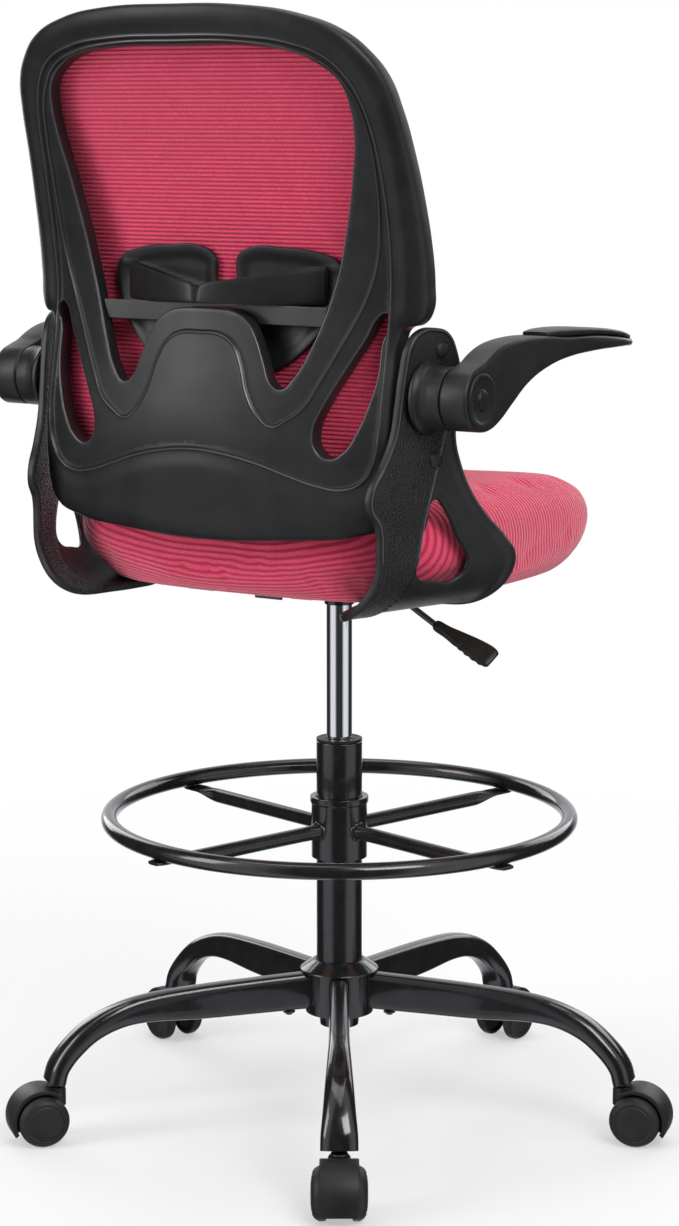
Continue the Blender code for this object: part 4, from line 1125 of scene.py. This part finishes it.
def build_lumbar():
    off_mesh, thick, edge = 0.0015, 0.005, 0.0016
    for side, sign in (("left", 1), ("right", -1)):
        outline = closed_curve([(sign * x, z) for x, z in WING])

        def rear(points, gap):
            x, z = points.T
            dish = 0.0022 * smoothstep(0.004, 0.016, gap)
            fold = knots(FOLD, np.abs(x))
            ridge = 0.0016 * np.exp(-((z - fold) / 0.0022) ** 2) * smoothstep(0.002, 0.006, gap)
            return stacked(x, mesh_rear(x, z) + off_mesh + thick - dish + ridge - rounding(gap, edge), z)

        def front(points, gap):
            x, z = points.T
            return stacked(x, mesh_rear(x, z) + off_mesh + rounding(gap, 0.0008), z)

        make(f"lumbar_wing_{side}", shell([outline], 0.0035, rear, front, (), edge, 0.0025), "lumbar",
             "black_plastic", ["lumbar_support"], sharp=60.0)
    rings = []
    reach, half_thick = 0.118, 0.0035
    for x in np.linspace(-reach, reach, 97):
        away = abs(x) / reach
        y = 0.2088 + 0.0547 * (1 - away ** 1.6)
        low, high = 0.9085 - 0.002 * away, 0.927 + 0.017 * away
        high -= 0.0042 * math.exp(-(x / 0.0065) ** 2)
        ring = []
        for a, b in section(half_thick, (high - low) / 2, 5.0, 28):
            groove = 0.0016 * math.exp(-(x / 0.0022) ** 2) if a > 0 else 0.0
            lean = 0.0015 * (b / ((high - low) / 2)) * (1 - away)
            ring.append(Vector((x, y + half_thick + a - groove - lean, (low + high) / 2 + b)))
        rings.append(ring)
    make("lumbar_bridge", skin(rings), "lumbar", "black_plastic")


# ---------------------------------------------------------------- arm brackets and arms
BRACKET_THICKNESS = 0.0078
BRACKET_BEND_TOP = 0.6642
BRACKET_BEND_RADIUS = 0.065
ARM_HUB_RADIUS = 0.031
ARM_HUB_WIDTH = 0.0304
BRACKET_SPLAY = 0.3          # how much |x| of its face grows for each metre ahead
BRACKET_OUTLINE = mm([
    (192, 887.5), (210, 886.5), (224.5, 875), (234, 845), (239, 815), (245, 785), (258, 758), (274, 732),
    (275, 716), (264, 698), (262, 670), (262, 640), (262, 600), (250, 575), (215, 552), (180, 534),
    (145, 524), (115, 532), (97, 560), (89, 600), (84, 636), (86, 656), (101, 676), (126, 700),
    (146, 725), (160, 753), (167, 780), (164, 808), (161, 835), (166, 864), (177, 882.5),
])
BRACKET_WINDOW = mm([
    (190, 719), (200, 697), (212, 662), (209, 645), (183, 635), (156, 634), (145, 650), (162, 682),
    (178, 710),
])
BRACKET_CREASE = mm([
    (600, 224), (640, 219), (690, 208.5), (740, 194), (800, 176), (890, 150),
])
ARM_OUTLINE = mm([  # y and height round the arm's side, from the back of its hub over the top to the tip
    (231, 820), (227.5, 834.5), (217, 846.5), (203, 852), (190, 856), (178, 862), (160, 868.5),
    (137, 872.5), (105, 874.5), (67, 874), (30, 871.5), (-20, 870), (-70, 865.5), (-105, 861),
    (-124, 858.5), (-127.5, 855.5), (-124, 853.2), (-105, 853.5), (-70, 854), (-20, 853.5), (30, 850),
    (67, 843), (105, 830), (137, 811), (160, 797), (180, 789.5), (200, 789), (217, 793.5), (227.5, 805.5),
])
ARM_HALF_WIDTH = mm([
    (-128, 13), (-105, 22), (-70, 26), (-20, 25), (30, 21.5), (67, 18.5), (105, 16.5), (137, 15.5),
    (165, 15.1), (232, 15),
])
PAD_STATIONS = mm([  # y, underside, top and width
    (-118, 858.8, 864, 32), (-85, 863.8, 870.5, 47), (-45, 868, 875.5, 50), (0, 870.4, 878.5, 47),
    (40, 871.6, 879, 40), (66, 873.4, 877.5, 30),
])


def bracket_face(y):
    """|x| of the bracket's outer face."""
    return 0.212 + BRACKET_SPLAY * (0.262 - y)


def build_bracket(side, sign):
    middle_radius = BRACKET_BEND_RADIUS - BRACKET_THICKNESS / 2

    def place(points, depth):
        """The world points of a face at a depth above the bracket's inner face."""
        y, run = points.T
        inset = depth - BRACKET_THICKNESS
        face = bracket_face(y)
        curl = np.maximum(BRACKET_BEND_TOP - run, 0)
        angle = np.minimum(curl / middle_radius, math.pi / 2)
        straight = np.maximum(curl - middle_radius * math.pi / 2, 0)
        radius = BRACKET_BEND_RADIUS + inset
        x = np.where(curl > 0, face - BRACKET_BEND_RADIUS + radius * np.cos(angle) - straight, face + inset)
        z = np.where(curl > 0, BRACKET_BEND_TOP - radius * np.sin(angle), run)
        return stacked(sign * x, y, z)

    outline = closed_curve(BRACKET_OUTLINE)
    window = closed_curve(BRACKET_WINDOW)
    edge = 0.0018

    def ahead_of_crease(points):
        return knots(BRACKET_CREASE, points[:, 1]) - points[:, 0]

    def outer_face(points, gap):
        to_outer, to_window = distance(points, outline), distance(points, window)
        ahead = ahead_of_crease(points)
        sunk = rounding(gap, edge)
        sunk = sunk + 0.0011 * smoothstep(0.0028, 0.0046, to_outer)
        sunk = sunk - 0.0006 * np.exp(-((to_window - 0.0022) / 0.0016) ** 2)
        sunk = sunk + 0.0024 * smoothstep(0.0, 0.0022, ahead) * smoothstep(0.003, 0.01, to_outer)
        sunk = sunk - 0.0009 * np.exp(-(ahead / 0.001) ** 2) * smoothstep(0.003, 0.008, to_outer)
        return place(points, BRACKET_THICKNESS - sunk)

    def inner_face(points, gap):
        return place(points, rounding(gap, edge) * 0.7)

    offsets = (0.0028, 0.0034, 0.004, 0.0046)
    heights = np.linspace(0.655, 0.79, 60)
    crease = np.stack([knots(BRACKET_CREASE, heights), heights], axis=1)
    crease = np.vstack([crease + (0.0009, 0), (crease - (0.0018, 0))[::-1]])
    lines = [(outline, offsets), (crease, (0.0, 0.0009))]
    bm = shell([outline, window], 0.003, inner_face, outer_face, lines, edge, 0.0024)
    at = np.array([(vertex.co.y, vertex.co.z) for vertex in bm.verts])
    ahead, to_edge = ahead_of_crease(at), distance(at, outline)
    grained = (1 - 0.85 * smoothstep(-0.004, 0.001, ahead)) * smoothstep(0.0045, 0.009, to_edge)
    grained *= 1 - 0.55 * smoothstep(0.835, 0.855, at[:, 1])
    # the crease and the rim of the outer face are stored as the mask of a painted highlight
    on_crease = np.exp(-(ahead / 0.0009) ** 2) * smoothstep(0.003, 0.008, to_edge)
    on_rim = 0.8 * np.exp(-((to_edge - 0.002) / 0.0009) ** 2)
    store(bm, "grain", grained)
    store(bm, "painted_highlight", np.maximum(on_crease, on_rim) * (at[:, 1] > BRACKET_BEND_TOP))
    bracket = make(f"bracket_{side}", bm, "seat", "black_plastic", [f"arm_bracket_{side}"], sharp=50.0)
    bracket.data.materials[0] = PEBBLED

    pivot = spot(f"arm_cap_{side}")
    on_axis = moved(0, pivot.y, pivot.z) @ rotated(sign * 90, "Y")
    hub_outer = min(abs(corner.x) for corner in span(f"arm_cap_{side}"))
    hub_start = hub_outer - ARM_HUB_WIDTH
    face = bracket_face(pivot.y)
    boss = [(0.0, face - 0.005), (0.0368, face - 0.005), (0.0368, face - 0.001), (0.0342, face + 0.0012),
            (0.0322, face + 0.0052), (0.0312, face + 0.012), (ARM_HUB_RADIUS, hub_start - 0.0003),
            (0.0, hub_start - 0.0003)]
    make(f"bracket_boss_{side}", turned(boss, 96, 0.001, on_axis), "seat", "black_plastic")
    for number in (1, 2):
        name = f"bracket_screw_{side}_{number}"
        centre = spot(name)
        outward = Vector((sign, BRACKET_SPLAY, 0)).normalized()
        turn = (moved(sign * bracket_face(centre.y), centre.y, centre.z)
                @ outward.to_track_quat("Z", "Y").to_matrix().to_4x4())
        cap = mm([(0, 1.6), (3.5, 1.4), (6.8, 0.4), (8, -0.8), (8, -2.2), (0, -2.2)])
        make(f"screw_cover_{side}_{number}", turned(cap, 40, 0.0005, turn), "seat", "black_plastic", [name])
        ring = mm([(8.3, -0.4), (9.4, -0.4), (9.4, -2), (8.3, -2)])
        make(f"screw_rim_{side}_{number}", turned(ring, 40, 0.0004, turn), "seat", "black_plastic")
    return hub_start, hub_outer


def build_arm(side, sign):
    hub_start, hub_outer = build_bracket(side, sign)
    centre_x = (hub_start + hub_outer) / 2
    outline = closed_curve(ARM_OUTLINE)
    edge = 0.003

    def face(which):
        def place(points, gap):
            y, z = points.T
            reach = knots(ARM_HALF_WIDTH, y) - rounding(gap, edge) * (1 + 0.6 * smoothstep(0.1, 0.03, y))
            return stacked(sign * (centre_x + which * reach), y, z)
        return place

    bm = shell([outline], 0.004, face(-1), face(1), (), edge, 0.0022)
    make(f"arm_body_{side}", bm, f"arm_{side}", "black_plastic", [f"arm_{side}"], sharp=55.0)

    places = [row[0] for row in PAD_STATIONS]
    rings = []
    for y in np.linspace(places[0], places[-1], 80):
        low, high, wide = through(places, [row[1:] for row in PAD_STATIONS], [y])[0]
        end = min(y - places[0], places[-1] - y)
        shrink = math.sqrt(max(0.0, 1 - (1 - min(end / 0.006, 1.0)) ** 2)) * 0.22 + 0.78
        rings.append([Vector((sign * (centre_x + a), y, (low + high) / 2 + b))
                      for a, b in section(wide / 2 * shrink, (high - low) / 2, 4.5, 44)])
    make(f"arm_rest_{side}", skin(rings), f"arm_{side}", "black_plastic", [f"arm_pad_{side}"], sharp=60.0)

    pivot = spot(f"arm_cap_{side}")
    on_face = moved(sign * hub_outer, pivot.y, pivot.z) @ rotated(sign * 90, "Y")
    cap = mm([(0, 3.6), (8.6, 3.6), (9.4, 2.8), (10, 1.3), (12, 1), (20, 1.6), (23.8, 2.6), (25.8, 2.4),
              (26.5, 1), (26.5, -0.4), (0, -0.4)])
    make(f"hub_cap_{side}", turned(cap, 96, 0.0006, on_face), f"arm_{side}", "black_plastic",
         [f"arm_cap_{side}"])


# ---------------------------------------------------------------- floor, lights and camera
def build_stage():
    bpy.ops.mesh.primitive_circle_add(vertices=128, radius=1.95, fill_type="NGON", location=(0, 0, 0))
    floor = bpy.context.object
    floor.name = "floor"
    paper, shader, where = new_look("floor", (0.8, 0.8, 0.8), 0.9)
    tree = where.id_data
    away = node(tree, "ShaderNodeVectorMath", {0: where}, operation="LENGTH").outputs["Value"]
    glow = node(tree, "ShaderNodeEmission", {"Color": (1, 1, 1, 1), "Strength": 1.0})
    white = node(tree, "ShaderNodeMixShader", {0: ramp(away, (0.35, 0.45), (1.7, 1.0)),
                                               1: shader.outputs[0], 2: glow.outputs[0]})
    mirrored_ray = node(tree, "ShaderNodeLightPath").outputs["Is Glossy Ray"]
    clear = node(tree, "ShaderNodeBsdfTransparent")
    seen = node(tree, "ShaderNodeMixShader", {0: mirrored_ray, 1: white.outputs[0], 2: clear.outputs[0]})
    tree.links.new(seen.outputs[0], tree.nodes["Material Output"].inputs["Surface"])
    floor.data.materials.append(paper)
    world = bpy.data.worlds.new("studio")
    bpy.context.scene.world = world
    world.use_nodes = True
    tree = world.node_tree
    tree.nodes.clear()
    seen = node(tree, "ShaderNodeLightPath").outputs["Is Camera Ray"]
    where = node(tree, "ShaderNodeSeparateXYZ",
                 {"Vector": node(tree, "ShaderNodeTexCoord").outputs["Generated"]}).outputs
    turn = maths("ARCTAN2", where["Y"], where["X"])
    bands = maths("SINE", maths("MULTIPLY_ADD", turn, 3.0, -1.68))
    cards = ramp(bands, (-0.25, 0.03), (0.6, 0.84))
    banded = node(tree, "ShaderNodeBackground", {"Color": (0.93, 0.95, 1.0, 1), "Strength": cards})
    plain = node(tree, "ShaderNodeBackground", {"Color": (1, 1, 1, 1), "Strength": 1.0})
    mixed = node(tree, "ShaderNodeMixShader", {0: seen, 1: banded.outputs[0], 2: plain.outputs[0]})
    node(tree, "ShaderNodeOutputWorld", {"Surface": mixed.outputs[0]})
    bpy.context.scene.view_settings.view_transform = "Standard"


def add_area(name, place, aim, size, power):
    data = bpy.data.lights.new(name, "AREA")
    data.shape = "RECTANGLE"
    data.size, data.size_y = size
    data.energy = power
    light = placed(bpy.data.objects.new(name, data))
    light.location = place
    light.rotation_euler = (Vector(aim) - Vector(place)).to_track_quat("-Z", "Y").to_euler()


def build_lights():
    add_area("key", (-2.6, 1.6, 2.9), (0, 0.1, 0.75), (1.8, 1.8), 84)
    add_area("window", (1.9, 2.6, 1.9), (0, 0.1, 0.8), (1.2, 2.4), 46)
    add_area("top", (0.2, 0.0, 3.6), (0, 0, 0.6), (2.6, 2.6), 42)
    add_area("left", (2.8, -1.2, 1.6), (0, 0, 0.7), (1.2, 2.2), 22)
    add_area("front", (-0.6, -3.0, 1.8), (0, 0, 0.7), (2.2, 1.6), 26)


def build_camera():
    """The camera stands behind the chair and to the sitter's right, a little below the top of the back."""
    data = bpy.data.cameras.new("camera")
    data.lens = 89.0
    data.sensor_width = 36.0
    camera = placed(bpy.data.objects.new("camera", data))
    camera.location = (-1.706, 2.764, 1.098)
    heading, drop = math.radians(32), math.radians(9.46)
    way = Vector((math.sin(heading), -math.cos(heading), -math.tan(drop)))
    camera.rotation_euler = way.to_track_quat("-Z", "Y").to_euler()
    bpy.context.scene.camera = camera


for build in (build_base, build_casters, build_lift, build_foot_ring, build_mechanism, build_lever,
              build_seat, build_back_frame, build_back_mesh, build_lumbar):
    build()
for arm_side, arm_sign in (("left", 1), ("right", -1)):
    build_arm(arm_side, arm_sign)
for build in (build_stage, build_lights, build_camera):
    build()
